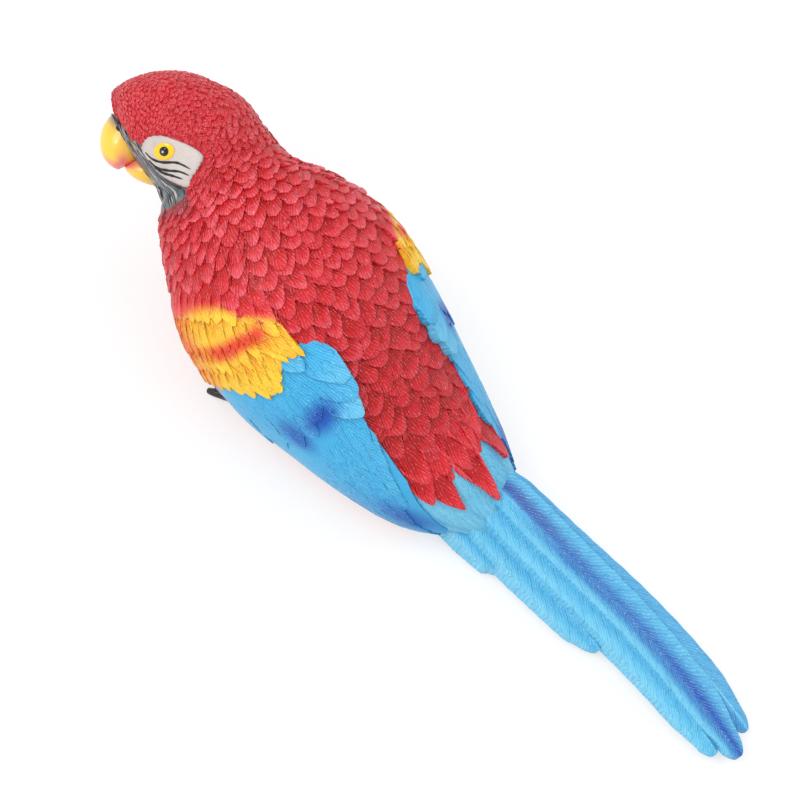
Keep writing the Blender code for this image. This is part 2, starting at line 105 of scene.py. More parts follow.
# Scale feathers: the length of back from the brow to a row, the row's pitch, and the feathers'
# width, lift at the tip, roundness of tip and amount of pale paint there, from a dry brush and as painted
# highlight
Zone = namedtuple("Zone", "at pitch width lift round brushed")
ZONES = (
    Zone(1.2, 1.4, 1.6, 0.35, 0.40, 0.50),
    Zone(30.0, 1.9, 2.2, 0.48, 0.40, 0.60),
    Zone(50.0, 2.4, 2.8, 0.58, 0.42, 0.45),
    Zone(66.0, 3.0, 4.0, 0.85, 0.50, 0.80),
    Zone(84.0, 4.0, 6.2, 1.15, 0.55, 0.95),
    Zone(120.0, 4.8, 7.2, 1.30, 0.55, 0.90),
    Zone(160.0, 5.4, 8.0, 1.25, 0.55, 0.50),
    Zone(200.0, 6.2, 8.6, 1.20, 0.60, 0.40),
)
OVERLAP = 2.0
LAST_ROW_ALONG = -47.0
FEWEST_IN_ROW = 5
# Lengths of back at which the feathers of head and neck end, and the lowest place of the face
HEAD_ENDS = 62.0
NECK_ENDS = 100.0
FACE_FROM = 60.0

# Feathers that lie along the body, each row given by a few of its feathers, first to last
Laid = namedtuple("Laid", "root root_angle tip tip_angle")
Row = namedtuple("Row", "name paint count half_width lift round guides")
WING_ROWS = (
    Row("primary", "blue", 6, 5.0, 0.6, 0.7, (
        Laid(-8, 62, -50, 78), Laid(-10, 80, -58, 92), Laid(-12, 100, -63, 103))),
    Row("secondary", "blue", 5, 6.0, 0.5, 0.6, (
        Laid(-28, 74, -52, 84), Laid(-22, 62, -47, 68), Laid(-14, 55, -38, 58), Laid(-7, 52, -28, 53))),
    Row("covert", "blue", 5, 8.0, 0.45, 0.6, (
        Laid(18, 58, -6, 60), Laid(14, 74, -11, 74), Laid(17, 90, -6, 92), Laid(20, 112, 0, 112))),
    Row("tertial", "blue_pale", 3, 5.8, 2.4, 0.6, (
        Laid(1, 47, -16.0, 41), Laid(7, 45, -10.4, 36.5), Laid(15, 41, -4.2, 34))),
    Row("small_tertial", "blue_pale", 1, 4.0, 2.0, 0.6, (Laid(19, 51, 7.5, 46.5),)),
    Row("lower_yellow", "yellow", 12, 4.2, 1.4, 0.85, (
        Laid(36, 118, 26, 118), Laid(34, 103, 23.5, 103), Laid(31, 92, 20.5, 93),
        Laid(29, 80, 14, 80), Laid(27, 70, 8.8, 69), Laid(26, 62, 8.0, 62), Laid(25, 54, 12.5, 55))),
    Row("inner_yellow", "yellow", 3, 3.4, 1.9, 1.0, (
        Laid(29, 56, 12.8, 49), Laid(30, 48, 11.0, 40.5))),
    Row("stripe", "yellow", 13, 3.3, 1.2, 0.9, (
        Laid(42, 116, 31, 116), Laid(40, 100, 28, 100), Laid(38, 80, 22, 80), Laid(33, 52, 17, 52))),
    Row("upper_yellow", "yellow", 13, 3.6, 1.4, 0.9, (
        Laid(50, 118, 36, 118), Laid(48, 103, 34, 103), Laid(46, 84, 30, 84),
        Laid(42, 66, 26.5, 66), Laid(35, 48, 20, 44))),
    Row("shoulder", "red", 12, 4.2, 1.5, 0.6, (
        Laid(56, 118, 44, 118), Laid(55, 103, 43.5, 103), Laid(52, 84, 39.5, 84),
        Laid(48, 66, 35, 66), Laid(40, 46, 24, 42))),
)
RUMP_ROWS = (
    Row("rump_under", "red", 7, 4.8, 1.0, 1.0, (
        Laid(-38, -46, -49, -50), Laid(-36, -8, -57, -12), Laid(-38, 20, -54, 25))),
    Row("rump", "red", 5, 5.4, 1.5, 0.9, (
        Laid(-31, -36, -48, -40), Laid(-33, -6, -56, -8), Laid(-31, 18, -51, 22))),
    Row("rump_tip", "red", 4, 4.8, 2.2, 1.1, (
        Laid(-40, -38, -53.5, -53), Laid(-41, -32, -62.5, -43), Laid(-43, -4, -70.0, -8),
        Laid(-42, 22, -63.5, 42))),
)

# Where the yellow of the wing starts and where red is sprayed across it: angles, then lengths
YELLOW_TOP = ((38, 41, 46, 55, 63.5, 77, 88.5, 120), (16.5, 27.0, 29.4, 34.7, 39.7, 43.2, 44.4, 46.0))
YELLOW_STRIPE = ((38, 48, 57, 66, 76, 93, 100, 120), (24.0, 25.1, 25.9, 27.4, 28.4, 32.1, 35.5, 37.0))

# Dark blue that is sprayed on the wings
Shadow = namedtuple("Shadow", "along angle length reach strength")
BLUE_SHADOWS = (
    Shadow(-6.4, 59.5, 5.5, 13.0, 1.0),
    Shadow(-4.5, 80.5, 8.0, 8.0, 0.85),
    Shadow(-50.0, 80.0, 11.0, 11.0, 0.75),
)

# The folded wing under its feathers, and the root of the tail
ShellSection = namedtuple("ShellSection", "along left_angle right_angle lower_angle lift")
WING_SECTIONS = (
    ShellSection(30.0, 58, 58, 116, 0.0),
    ShellSection(24.0, 52, 52, 116, 0.4),
    ShellSection(10.0, 43, 42, 122, 1.4),
    ShellSection(-4.0, 41, 37, 124, 2.0),
    ShellSection(-18.0, 44, 35, 122, 2.4),
    ShellSection(-30.0, 46, 37, 118, 2.4),
    ShellSection(-42.0, 51, 42, 114, 2.4),
    ShellSection(-55.0, 68, 44, 110, 2.2),
    ShellSection(-64.0, 86, 66, 104, 1.6),
)
RIGHT_WING_BACK = 9.0
TAIL_ROOT_SECTIONS = (
    ShellSection(-46.0, -70, -70, 70, 0.3),
    ShellSection(-54.0, -82, -82, 82, 0.8),
    ShellSection(-64.0, -88, -88, 88, 0.9),
    ShellSection(-72.0, -84, -84, 86, 0.8),
    ShellSection(-80.0, -58, -58, 66, 0.5),
)

# The end of the tail bends to the bird's left, from a place along it
TAIL_BEND = 0.0018
TAIL_BEND_FROM = -117.0
# Long tail feathers, from the lowest to the one on top
Quill = namedtuple("Quill", "name root_x tip_x root_y tip_y half_width root_top tip_top")
TAIL_QUILLS = (
    Quill("short_left", -10.4, -9.8, -54.0, -89.0, 5.0, 20.0, 7.6),
    Quill("short_right", 12.8, 13.2, -54.0, -101.0, 5.4, 20.0, 7.5),
    Quill("outer_left", -5.4, -8.1, -54.0, -131.5, 5.8, 25.0, 6.5),
    Quill("outer_right", 8.8, 12.4, -54.0, -142.0, 5.2, 25.0, 6.5),
    Quill("long_left", -1.4, -0.8, -54.0, -185.5, 6.4, 30.0, 6.2),
    Quill("long_right", 7.9, 14.8, -54.0, -189.0, 6.2, 30.0, 6.2),
    Quill("centre", 4.7, 6.1, -54.0, -192.5, 7.2, 34.0, 8.0),
)

# The face in its own plane: forward to the bill and up to the crown from the eye
Profile = namedtuple("Profile", "upper lower half_width")
UPPER_BILL = (
    Profile((15.0, 17.0), (8.0, 1.0), 7.6),
    Profile((17.3, 16.6), (10.9, -0.2), 8.2),
    Profile((21.1, 12.4), (12.6, -1.0), 8.0),
    Profile((22.6, 7.0), (14.4, -1.5), 7.2),
    Profile((22.3, 3.4), (15.6, -1.8), 5.8),
    Profile((21.0, 0.6), (16.6, -2.0), 4.0),
    Profile((19.0, -1.6), (17.6, -2.3), 1.6),
)
LOWER_BILL = (
    Profile((6.0, 1.5), (3.8, -10.4), 6.2),
    Profile((10.6, 0.6), (8.6, -8.5), 6.2),
    Profile((13.2, -0.6), (12.5, -6.1), 5.2),
    Profile((15.2, -1.4), (15.0, -3.1), 3.0),
)
CERE = (
    Profile((8.0, 14.0), (-2.0, -7.5), 13.0),
    Profile((12.0, 15.0), (4.2, -9.8), 12.0),
    Profile((15.2, 16.0), (8.4, -6.0), 10.2),
    Profile((17.4, 16.9), (11.2, -0.6), 8.7),
)
CHEEK_PATCH = (
    (8.1, 2.7), (6.8, 4.6), (4.6, 5.8), (0.6, 5.5), (-3.6, 3.6), (-8.9, 0.4), (-12.2, -3.0),
    (-11.0, -5.7), (-9.5, -7.6), (-7.1, -10.3), (-6.4, -12.2), (-4.6, -12.4), (-0.7, -9.9),
    (2.4, -7.6), (4.7, -4.9), (6.4, -2.3), (7.5, -0.1),
)
BARE_SKIN = (
    (15.5, 14.0), (12.8, 11.0), (11.9, 7.0), (8.4, 4.6), (6.8, 1.4), (6.0, -1.6), (3.0, -5.6),
    (-0.8, -10.0), (-5.6, -12.4), (-5.6, -14.0), (-2.1, -17.0), (5.0, -19.5), (14.0, -12.0), (20.0, 10.0),
)
# Back and front edges of the streaked band that runs from the bill down to the throat
BAND_BACK = (
    (12.6, 11.1), (11.7, 7.0), (9.2, 4.3), (8.0, 1.0), (4.4, -5.1), (0.4, -9.7),
    (-4.6, -13.0), (-3.6, -16.5),
)
BAND_FRONT = (
    (16.0, 14.8), (14.4, 9.0), (13.0, 5.0), (10.6, 0.0), (8.4, -5.5), (5.8, -9.8),
    (4.6, -14.0), (3.6, -18.0),
)
STREAKS = 150
CHEEK_LINES = (
    ((6.9, 1.0), (4.9, -1.5), (1.8, -3.1), (-2.6, -3.9), (-4.8, -5.0), (-7.4, -6.9)),
    ((6.2, -1.6), (3.8, -4.5), (0.4, -6.0), (-3.6, -7.1), (-6.6, -8.9)),
    ((4.6, -4.2), (2.2, -6.4), (-1.0, -8.0), (-4.3, -9.7)),
)
NOSTRILS = (((15.8, 11.8), (15.1, 10.8), (14.4, 9.9)), ((13.2, 10.0), (12.6, 8.9), (12.1, 7.8)))
# Half length, half height, and how high rim and middle stand; a white spot painted on the pupil is its
# highlight
EYE_SHAPES = {"iris": (3.5, 2.8, 0.2, 0.8), "pupil": (1.6, 1.6, 0.5, 1.5)}
EYE_MIDDLE = (0.5, 0.2)
PAINTED_GLINT = {"forward": 0.42, "up": -0.14, "radius": 0.55, "core": 0.2}

# Toes that grip the wall, on the left; the right foot is their mirror image
TOE_PATHS = {
    "front_toe": ((-15, 10, 7), (-22, 15.5, 6.6), (-27, 21, 5.4), (-29.5, 26, 3.4), (-30, 29, 1.2)),
    "rear_toe": ((-15, 10, 7), (-20.6, 8, 6.4), (-24.6, 5.5, 5.2), (-25.6, 3.5, 3.2), (-25.6, 1.5, 1.2)),
}
TOE_RADIUS = 2.4
# Shares of a toe's length, and what the radius is there: the claw starts at 0.62
TOE_TAPER = ((0, 0.5, 0.62, 0.7, 1.0), (1.0, 0.92, 0.85, 0.72, 0.42))
HANG_HOLE = {"radius": 4.0, "depth": 15.0, "along": 15.0}

# The photograph's viewpoint: the turn of its upright, the width it takes in and where it looks
TILT = math.radians(41.0)
FRAME_WIDTH = 272.24
TARGET = SPINE * -22.9 + FLANK * 14.6 + CHEEK * 30.0
LENS, SENSOR = 200.0, 36.0

Lamp = namedtuple("Lamp", "name place size")
LAMPS = (
    Lamp("key", (-0.75, 0.75, 1.25), 0.9),
    Lamp("fill", (0.9, -0.6, 1.0), 0.9),
    Lamp("glint", (-0.75, 0.35, 0.95), 0.07),
)
FLOOR_SHARE = 0.55
FLOOR_GLOW = 1.1
WHITE = (1.0, 1.0, 1.0, 1.0)

# Where a blade's top turns down into its side, the edge is kept sharp
RIM_ANGLE = math.radians(40.0)
# How deep shells and brush strokes go below the surface that they lie on
SHELL_DEPTH = 3.5
STROKE_DEPTH = 0.8
# How far from the middle of the head a look at a cheek starts, and where it ends if it finds nothing
SIGHT = 60.0
NOTHING_SEEN = 5.0

# The carver's and the painter's unevenness, the same on every run
chance = np.random.default_rng(7)


def srgb(red, green, blue):
    """A colour picked from 0 to 1, as the linear light that Blender mixes."""
    return tuple(((c + 0.055) / 1.055) ** 2.4 if c > 0.04 else c / 12.92 for c in (red, green, blue))


def colour(name, text, value):
    """A setting for one paint."""
    return FloatVectorProperty(
        name=name, description=text, subtype="COLOR", size=3, min=0, max=1, default=value)


class FIGURINE_PG_plumage(bpy.types.PropertyGroup):
    """Paint of the feathers."""

    red: colour("Red", "Paint of head, back and rump", srgb(0.88, 0.06, 0.14))
    # Deep red is painted shade at the roots of the feathers, under the row above, and on the casting where
    # it shows between them
    red_deep: colour("Deep red", "Red left in the grooves", srgb(0.74, 0.0, 0.05))
    # Pale red on the tips is partly dry brush work and partly painted highlight
    red_brushed_highlight: colour("Brushed red", "Pale red on the tips of the feathers", srgb(0.92, 0.42, 0.48))
    yellow: colour("Yellow", "Paint of the upper wing", srgb(0.95, 0.81, 0.22))
    # Deep yellow is painted shade at the roots of the yellow feathers; it also rims the iris
    yellow_deep: colour("Deep yellow", "Yellow left in the grooves", srgb(0.90, 0.60, 0.10))
    orange: colour("Orange", "Stripe across the yellow", srgb(0.89, 0.29, 0.16))
    blue: colour("Blue", "Paint of wing and tail", srgb(0.25, 0.69, 0.87))
    blue_pale: colour("Pale blue", "Brushed edges of wing and tail", srgb(0.52, 0.82, 0.92))
    blue_deep: colour("Deep blue", "Sprayed shadows of wing and tail", srgb(0.0, 0.31, 0.70))
    violet: colour("Violet", "Shadow at the root of the tail", srgb(0.26, 0.28, 0.62))


class FIGURINE_PG_face(bpy.types.PropertyGroup):
    """Paint of bill, bare skin, eyes and feet."""

    bill: colour("Bill", "Yellow of the bill", srgb(0.95, 0.77, 0.24))
    bill_edge: colour("Bill edge", "Pink at the cutting edge and the tip", srgb(0.92, 0.50, 0.46))
    bill_shade: colour("Bill shade", "Ochre at the root of the bill", srgb(0.85, 0.62, 0.18))
    skin: colour("Cheek", "Bare skin round the eye", srgb(0.77, 0.73, 0.71))
    band: colour("Band", "Grey skin behind the bill", srgb(0.33, 0.36, 0.39))
    line: colour("Lines", "Feather lines and pupil", srgb(0.02, 0.02, 0.02))
    iris: colour("Iris", "Ring of the eye", srgb(0.95, 0.76, 0.10))
    claw: colour("Claw", "Toes and claws", srgb(0.22, 0.22, 0.23))


class FIGURINE_PG_stage(bpy.types.PropertyGroup):
    """Light of the studio."""

    world: FloatProperty(
        name="Room light", description="Strength of the even light", default=0.92, min=0.0)
    key: FloatProperty(
        name="Key light", description="Power of the large lamp", unit="POWER", default=10.0)
    fill: FloatProperty(
        name="Fill light", description="Power of the lamp opposite", unit="POWER", default=3.0)
    glint: FloatProperty(
        name="Glint light", description="Power of the small lamp", unit="POWER", default=0.9)


def rgb(name):
    """A colour of the settings, as an array."""
    settings = bpy.context.scene.figurine_plumage
    if not hasattr(settings, name):
        settings = bpy.context.scene.figurine_face
    return np.array(getattr(settings, name))


def smooth(low, high, value):
    """0 below low and 1 above high, with a soft step between them."""
    share = np.clip((value - low) / (high - low), 0.0, 1.0)
    return share * share * (3 - 2 * share)


def mixed(near, far, share):
    """Colours between two colours, or arrays of them."""
    return near + (far - near) * np.asarray(share)[..., None]


def curve(values, share):
    """Smooth curve through values at even steps, for shares from 0 to 1."""
    values = np.asarray(values, float)
    last = len(values) - 1
    place = np.clip(np.asarray(share, float), 0.0, 1.0) * last
    i = np.minimum(place.astype(int), last - 1)
    t = place - i
    t = t.reshape(t.shape + (1,) * (values.ndim - 1))
    a, b, c, d = (values[np.clip(i + k, 0, last)] for k in (-1, 0, 1, 2))
    return 0.5 * (2 * b + (c - a) * t + (2 * a - 5 * b + 4 * c - d) * t**2 + (3 * b - a - 3 * c + d) * t**3)


class Body:
    """The smooth form of head, neck and body, addressed by section number and angle."""

    def __init__(self, sections):
        self.table = np.array(sections, float)
        self.last = len(sections) - 1
        self.grid = np.linspace(0, self.last, self.last * 20 + 1)
        line = self.point(self.grid, 0.0)
        steps = np.linalg.norm(np.diff(line, axis=0), axis=1)
        self.lengths = np.concatenate(([0.0], np.cumsum(steps)))
        self.alongs = curve(self.table, self.grid / self.last)[:, 0]

    def point(self, position, angle, lift=None):
        """Points on the surface, or lifted off it, at section numbers and angles from the dorsal line."""
        position, angle = np.broadcast_arrays(np.asarray(position, float), np.asarray(angle, float))
        cut = np.moveaxis(curve(self.table, position / self.last), -1, 0)
        along, side, rise, bend, turn, half, back, belly = (part[..., None] for part in cut)
        bend, roll = np.radians(bend), LEAN + np.radians(turn)
        across = FLANK * np.cos(bend) + SPINE * np.sin(bend)
        dorsal = CHEEK * np.cos(roll) + across * np.sin(roll)
        right = across * np.cos(roll) - CHEEK * np.sin(roll)
        around = np.radians(angle)[..., None]
        height = np.where(np.cos(around) > 0, back, belly)
        centre = np.concatenate((side, along, rise), axis=-1)
        spot = centre + right * (half * np.sin(around)) + dorsal * (height * np.cos(around))
        if lift is None:
            return spot
        return spot + self.normal(position, angle) * np.asarray(lift)[..., None]

    def normal(self, position, angle):
        small = 0.02
        start = np.clip(position, small, self.last - small)
        along = self.point(start + small, angle) - self.point(start - small, angle)
        around = self.point(start, angle + 1.0) - self.point(start, angle - 1.0)
        out = np.cross(along, around)
        return out / np.linalg.norm(out, axis=-1, keepdims=True)

    def at_length(self, length):
        """The section number at a length of back from the brow."""
        return np.interp(length, self.lengths, self.grid)

    def at_along(self, along):
        """The section number at a place along +Y."""
        return np.interp(-np.asarray(along, float), -self.alongs, self.grid)

    def degrees_per_mm(self, position, angle):
        """How many degrees a millimetre round the body takes."""
        step = self.point(position, angle + 0.5) - self.point(position, angle - 0.5)
        return 1.0 / np.linalg.norm(step, axis=-1)


BODY = Body(BODY_SECTIONS)


def on_face(forward, up, out):
    """Points from their places on the face and their distance out from its plane."""
    forward, up, out = (np.asarray(part, float)[..., None] for part in (forward, up, out))
    return EYE + FORWARD * forward + CROWN * up + CHEEK * out


def face_place(points):
    """Forward and up on the face, of points in space."""
    offset = points - EYE
    return offset @ FORWARD, offset @ CROWN


def inside(x, y, outline):
    """Which points are inside a closed outline: a line from one crosses an odd number of sides."""
    odd = np.zeros(np.shape(x), bool)
    for (ax, ay), (bx, by) in zip(outline, outline[1:] + outline[:1]):
        crosses = ((ay > y) != (by > y)) & (x < ax + (bx - ax) * (y - ay) / (by - ay + 1e-9))
        odd ^= crosses
    return odd


class Socket:
    """A shader value: arithmetic on it adds Math nodes to its tree."""

    def __init__(self, nodes, socket):
        self.nodes, self.socket = nodes, socket

    def beside(self, output):
        """Another output of the same node."""
        return Socket(self.nodes, self.socket.node.outputs[output])

    def maths(self, operation, *inputs):
        return self.nodes.node("ShaderNodeMath", {"operation": operation}, dict(enumerate(inputs)))

    def __add__(self, other):
        return self.maths("ADD", self, other)

    def __sub__(self, other):
        return self.maths("SUBTRACT", self, other)

    def __mul__(self, other):
        return self.maths("MULTIPLY", self, other)

    def __truediv__(self, other):
        return self.maths("DIVIDE", self, other)

    def __radd__(self, other):
        return self.maths("ADD", other, self)

    def __rsub__(self, other):
        return self.maths("SUBTRACT", other, self)

    def __rmul__(self, other):
        return self.maths("MULTIPLY", other, self)

    def __abs__(self):
        return self.maths("ABSOLUTE", self)

    def sine(self):
        return self.maths("SINE", self)

    def smooth(self, low, high):
        return self.nodes.node(
            "ShaderNodeMapRange", {"interpolation_type": "SMOOTHSTEP"},
            {"Value": self, "From Min": low, "From Max": high})


class Nodes:
    """A node tree, and the method that adds every node to it."""

    def __init__(self, tree):
        self.tree = tree

    def node(self, kind, settings, inputs, output=0):
        made = self.tree.nodes.new(kind)
        for name, value in settings.items():
            setattr(made, name, value)
        for name, value in inputs.items():
            self.feed(made.inputs[name], value)
        return Socket(self, made.outputs[output])

    def feed(self, socket, value):
        if isinstance(value, Socket):
            self.tree.links.new(value.socket, socket)
        else:
            socket.default_value = value

    def seen(self):
        """1 for the rays of the camera and those that it gets from mirrors and through glass."""
        rays = self.node("ShaderNodeLightPath", {}, {})
        return rays + rays.beside("Is Glossy Ray") + rays.beside("Is Transmission Ray")


class Finish(Nodes):
    """One material: its shader, and the parts that its recipes share."""

    def __init__(self, name):
        self.material = bpy.data.materials.new(name)
        self.material.use_nodes = True
        super().__init__(self.material.node_tree)
        self.shader = self.tree.nodes["Principled BSDF"]

    def noise(self, scale, detail=2.0, roughness=0.5):
        place = self.node("ShaderNodeTexCoord", {}, {}, "Object")
        return self.node(
            "ShaderNodeTexNoise", {},
            {"Vector": place, "Scale": scale, "Detail": detail, "Roughness": roughness})

    def mix(self, share, near, far, blend="MIX"):
        return self.node(
            "ShaderNodeMix", {"data_type": "RGBA", "blend_type": blend}, {0: share, 6: near, 7: far}, 2)

    def carve(self, height):
        """Relief whose height is given in millimetres."""
        return self.node("ShaderNodeBump", {}, {"Strength": 1.0, "Distance": METRES, "Height": height})

    def apply(self, **values):
        """Sets or links the shader's inputs by their names."""
        for name, value in values.items():
            self.feed(self.shader.inputs[name.replace("_", " ")], value)


CENTIMETRE = 10.0
# Every few barbs, a wider split
BARBS_TO_SPLIT = 3.7


def carved_resin(name, barb_pitch, barb_slope, barb_depth, grain, split, cloudy=0.22, highlight_brushing=0.3,
                 brushed=(0.85, 0.85, 0.80, 1.0)):
    """Painted resin with barbs carved along the feathers' own map.

    Grooves are deeper in colour, partly from paint that gathers there and partly as painted shade, and
    ridges are paler, from a dry brush and as painted highlight.
    """
    finish = Finish(name)
    paint = finish.node("ShaderNodeAttribute", {"attribute_name": "paint"}, {})
    strength = paint.beside("Alpha")
    place = finish.node("ShaderNodeUVMap", {"uv_map": "feather"}, {})
    across = finish.node("ShaderNodeSeparateXYZ", {}, {0: place})
    along = across.beside(1)
    wander = finish.noise(260.0, 3.0)
    fine = finish.noise(1500.0, 3.0, 0.6)
    cloud = finish.noise(120.0, 2.0)
    lean = along * CENTIMETRE - abs(across * CENTIMETRE) * barb_slope

    def ridges(pitch, waver):
        return ((lean * (2 * math.pi / pitch) + wander * waver).sine() * 0.5 + 0.5) * strength

    wave = ridges(barb_pitch, 11.0)
    broad = ridges(barb_pitch * BARBS_TO_SPLIT, 13.0)
    groove = (1.0 - wave) * strength * split + broad.smooth(0.80, 1.0) * (split * 0.5)
    deep = finish.mix(0.8, paint, paint, "MULTIPLY")
    # Painted shade, with paint that gathers there: darker colour in the barbs' grooves
    settled_and_shaded = finish.mix(groove, paint, deep)
    # Painted highlight, with dry brush work: pale specks along the ridges of the barbs
    pale = finish.mix(wave.smooth(0.65, 1.0) * fine.smooth(0.48, 0.72) * highlight_brushing, settled_and_shaded, brushed)
    tone = finish.mix(cloud.smooth(0.50, 0.30) * cloudy, pale, deep)
    height = (wave * barb_depth - broad.smooth(0.8, 1.0) * barb_depth + fine * (0.10 * grain)
              + wander * (0.12 * grain))
    finish.apply(Base_Color=tone, Roughness=0.28 + fine * 0.24, Normal=finish.carve(height),
                 Coat_Weight=0.12, Coat_Roughness=0.18, Specular_IOR_Level=0.26)
    return finish.material


def smooth_resin(name, roughness, grain, mottle, coat):
    """Painted resin without barbs, for the bill, bare skin, eyes and feet."""
    finish = Finish(name)
    paint = finish.node("ShaderNodeAttribute", {"attribute_name": "paint"}, {})
    cloud = finish.noise(150.0, 3.0)
    fine = finish.noise(1300.0, 3.0, 0.6)
    wear = finish.noise(420.0, 2.0)
    deep = finish.mix(1.0, paint, paint, "MULTIPLY")
    tone = finish.mix(cloud.smooth(0.4, 0.75) * mottle + wear.smooth(0.62, 0.8) * mottle * 0.5, paint, deep)
    height = fine * (0.08 * grain) + wear * (0.10 * grain)
    finish.apply(Base_Color=tone, Roughness=fine * 0.12 + roughness, Normal=finish.carve(height),
                 Coat_Weight=coat, Coat_Roughness=0.1)
    return finish.material


# Barbs: pitch and depth in millimetres and slope of their chevron, then the paint: painted shade in the
# grooves, mottling, and pale paint on the ridges from a dry brush and as painted highlight
CARVED = {
    "scale_feathers": dict(barb_pitch=2.9, barb_slope=2.8, barb_depth=0.17, grain=1.3, split=0.7,
                           highlight_brushing=0.5, brushed=(0.95, 0.42, 0.42, 1.0)),
    "head_feathers": dict(barb_pitch=1.6, barb_slope=1.6, barb_depth=0.14, grain=1.8, split=0.5,
                          highlight_brushing=0.7, brushed=(0.95, 0.45, 0.45, 1.0)),
    "wing_feathers": dict(barb_pitch=2.6, barb_slope=2.8, barb_depth=0.14, grain=0.9, split=0.4,
                          cloudy=0.12),
    "tail_feathers": dict(barb_pitch=1.7, barb_slope=1.5, barb_depth=0.12, grain=0.9, split=0.35,
                          cloudy=0.15, highlight_brushing=0.4),
}
PLAIN = {
    "under_paint": dict(roughness=0.40, grain=2.5, mottle=0.4, coat=0.3),
    "bill_paint": dict(roughness=0.26, grain=0.35, mottle=0.10, coat=0.3),
    "skin_paint": dict(roughness=0.45, grain=2.6, mottle=0.22, coat=0.15),
    "band_paint": dict(roughness=0.36, grain=1.6, mottle=0.5, coat=0.3),
    "eye_gloss": dict(roughness=0.04, grain=0.02, mottle=0.05, coat=0.0),
    "line_paint": dict(roughness=0.50, grain=0.6, mottle=0.2, coat=0.0),
    "claw_paint": dict(roughness=0.30, grain=2.0, mottle=0.5, coat=0.3),
}


def material(name):
    """A finish of the figurine, made the first time that a piece asks for it."""
    made = bpy.data.materials.get(name)
    if made:
        return made
    return carved_resin(name, **CARVED[name]) if name in CARVED else smooth_resin(name, **PLAIN[name])


def lines(count):
    """Grid lines from -1 to 1, closer together near the rim."""
    spots = np.sin(np.linspace(-1, 1, count + 1) * math.radians(81))
    return spots / spots[-1]


def blade(columns, rows, one_underside=True):
    """A flat closed blade: x from -1 to 1 across, y from -1 to 1 along, z 0 below and 1 on top."""
    shape = bmesh.new()
    bmesh.ops.create_grid(shape, x_segments=columns, y_segments=rows, size=1.0)
    raised = bmesh.ops.extrude_face_region(shape, geom=shape.faces[:])
    tops = [vert for vert in raised["geom"] if isinstance(vert, bmesh.types.BMVert)]
    bmesh.ops.translate(shape, vec=(0, 0, 1), verts=tops)
    if one_underside:
        under = [face for face in shape.faces if all(vert.co.z < 0.5 for vert in face.verts)]
        bmesh.ops.dissolve_faces(shape, faces=under)
    bmesh.ops.recalc_face_normals(shape, faces=shape.faces)
    for edge in shape.edges:
        edge.smooth = edge.calc_face_angle(0.0) < RIM_ANGLE
    return shape


def turn_outward(mesh):
    """Turns the faces outward where a placing rule has mirrored them."""
    shape = bmesh.new()
    shape.from_mesh(mesh)
    if shape.calc_volume(signed=True) < 0:
        bmesh.ops.reverse_faces(shape, faces=shape.faces)
        shape.to_mesh(mesh)
    shape.free()


def shaped(name, shape, finish, place, copies=1, above=0.02):
    """Copies a shape, moves all the copies' points with one placing rule, and paints them.

    The rule takes arrays of local x, y and z, a row for each copy, and gives points in
    millimetres, places on the feather map in centimetres, and colours with the barbs' strength.
    """
    single = bpy.data.meshes.new(name + "_single")
    shape.to_mesh(single)
    shape.free()
    many = bmesh.new()
    for _ in range(copies):
        many.from_mesh(single)
    mesh = bpy.data.meshes.new(name)
    many.to_mesh(mesh)
    many.free()
    bpy.data.meshes.remove(single)
    flat = np.empty(len(mesh.vertices) * 3)
    mesh.vertices.foreach_get("co", flat)
    local = flat.reshape(copies, -1, 3)
    points, spots, paint = place(local[..., 0], local[..., 1], local[..., 2])
    low, high = np.array(CAD_BOX) / METRES
    points = np.clip(points, (low[0], low[1], above), high)
    mesh.vertices.foreach_set("co", (points * METRES).reshape(-1))
    turn_outward(mesh)
    corners = np.empty(len(mesh.loops), int)
    mesh.loops.foreach_get("vertex_index", corners)
    layer = mesh.uv_layers.new(name="feather")
    layer.uv.foreach_set("vector", spots.reshape(-1, 2)[corners].reshape(-1))
    layer = mesh.color_attributes.new("paint", "FLOAT_COLOR", "POINT")
    layer.data.foreach_set("color", paint.reshape(-1))
    mesh.polygons.foreach_set("use_smooth", np.ones(len(mesh.polygons), bool))
    mesh.materials.append(material(finish))
    mesh.update()
    made = bpy.data.objects.new(name, mesh)
    bpy.context.scene.collection.objects.link(made)
    return made


def piece(name, shape, finish, place, copies=1, above=0.02):
    """A shaped object that takes its part in standing for the casting."""
    made = shaped(name, shape, finish, place, copies, above)
    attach(made, "root")
    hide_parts("parrot")
    return made


def with_strength(paint, strength=1.0):
    """Adds how strongly the barbs are carved as a fourth value of each colour."""
    strength = np.broadcast_to(strength, paint.shape[:-1])[..., None]
    return np.concatenate((paint, strength), axis=-1)


def wing_cut(along):
    """Upper edge on the left and on the right, lower edge and lift of the folded wings."""
    cuts = np.array(WING_SECTIONS)[::-1].T
    return [np.interp(along, cuts[0], row) for row in cuts[1:]]


def wing_lift(along, angle):
    """How far the folded wing stands proud of the body."""
    left, right, lower, lift = wing_cut(along)
    upper = np.where(np.asarray(angle) < 0, left, right)
    share = (np.abs(angle) - upper) / (lower - upper)
    return lift * np.sin(math.pi * np.clip(share, 0.08, 0.92)) ** 0.35


def as_left(along, angle):
    """The place on the left wing that has the same paint as a place on either wing."""
    left, right, lower, _ = wing_cut(along)
    mirrored = lower - (lower - np.abs(angle)) * (lower - left) / (lower - right)
    on_right = np.asarray(angle) > 0
    moved = np.where(on_right, along + RIGHT_WING_BACK, along)
    return moved, np.where(on_right, mirrored, np.abs(angle))


def as_right(along, angle):
    """The place on the right wing of a feather that is given for the left wing."""
    along = along - RIGHT_WING_BACK
    left, right, lower, _ = wing_cut(along)
    return along, lower - (lower - angle) * (lower - right) / (lower - left)


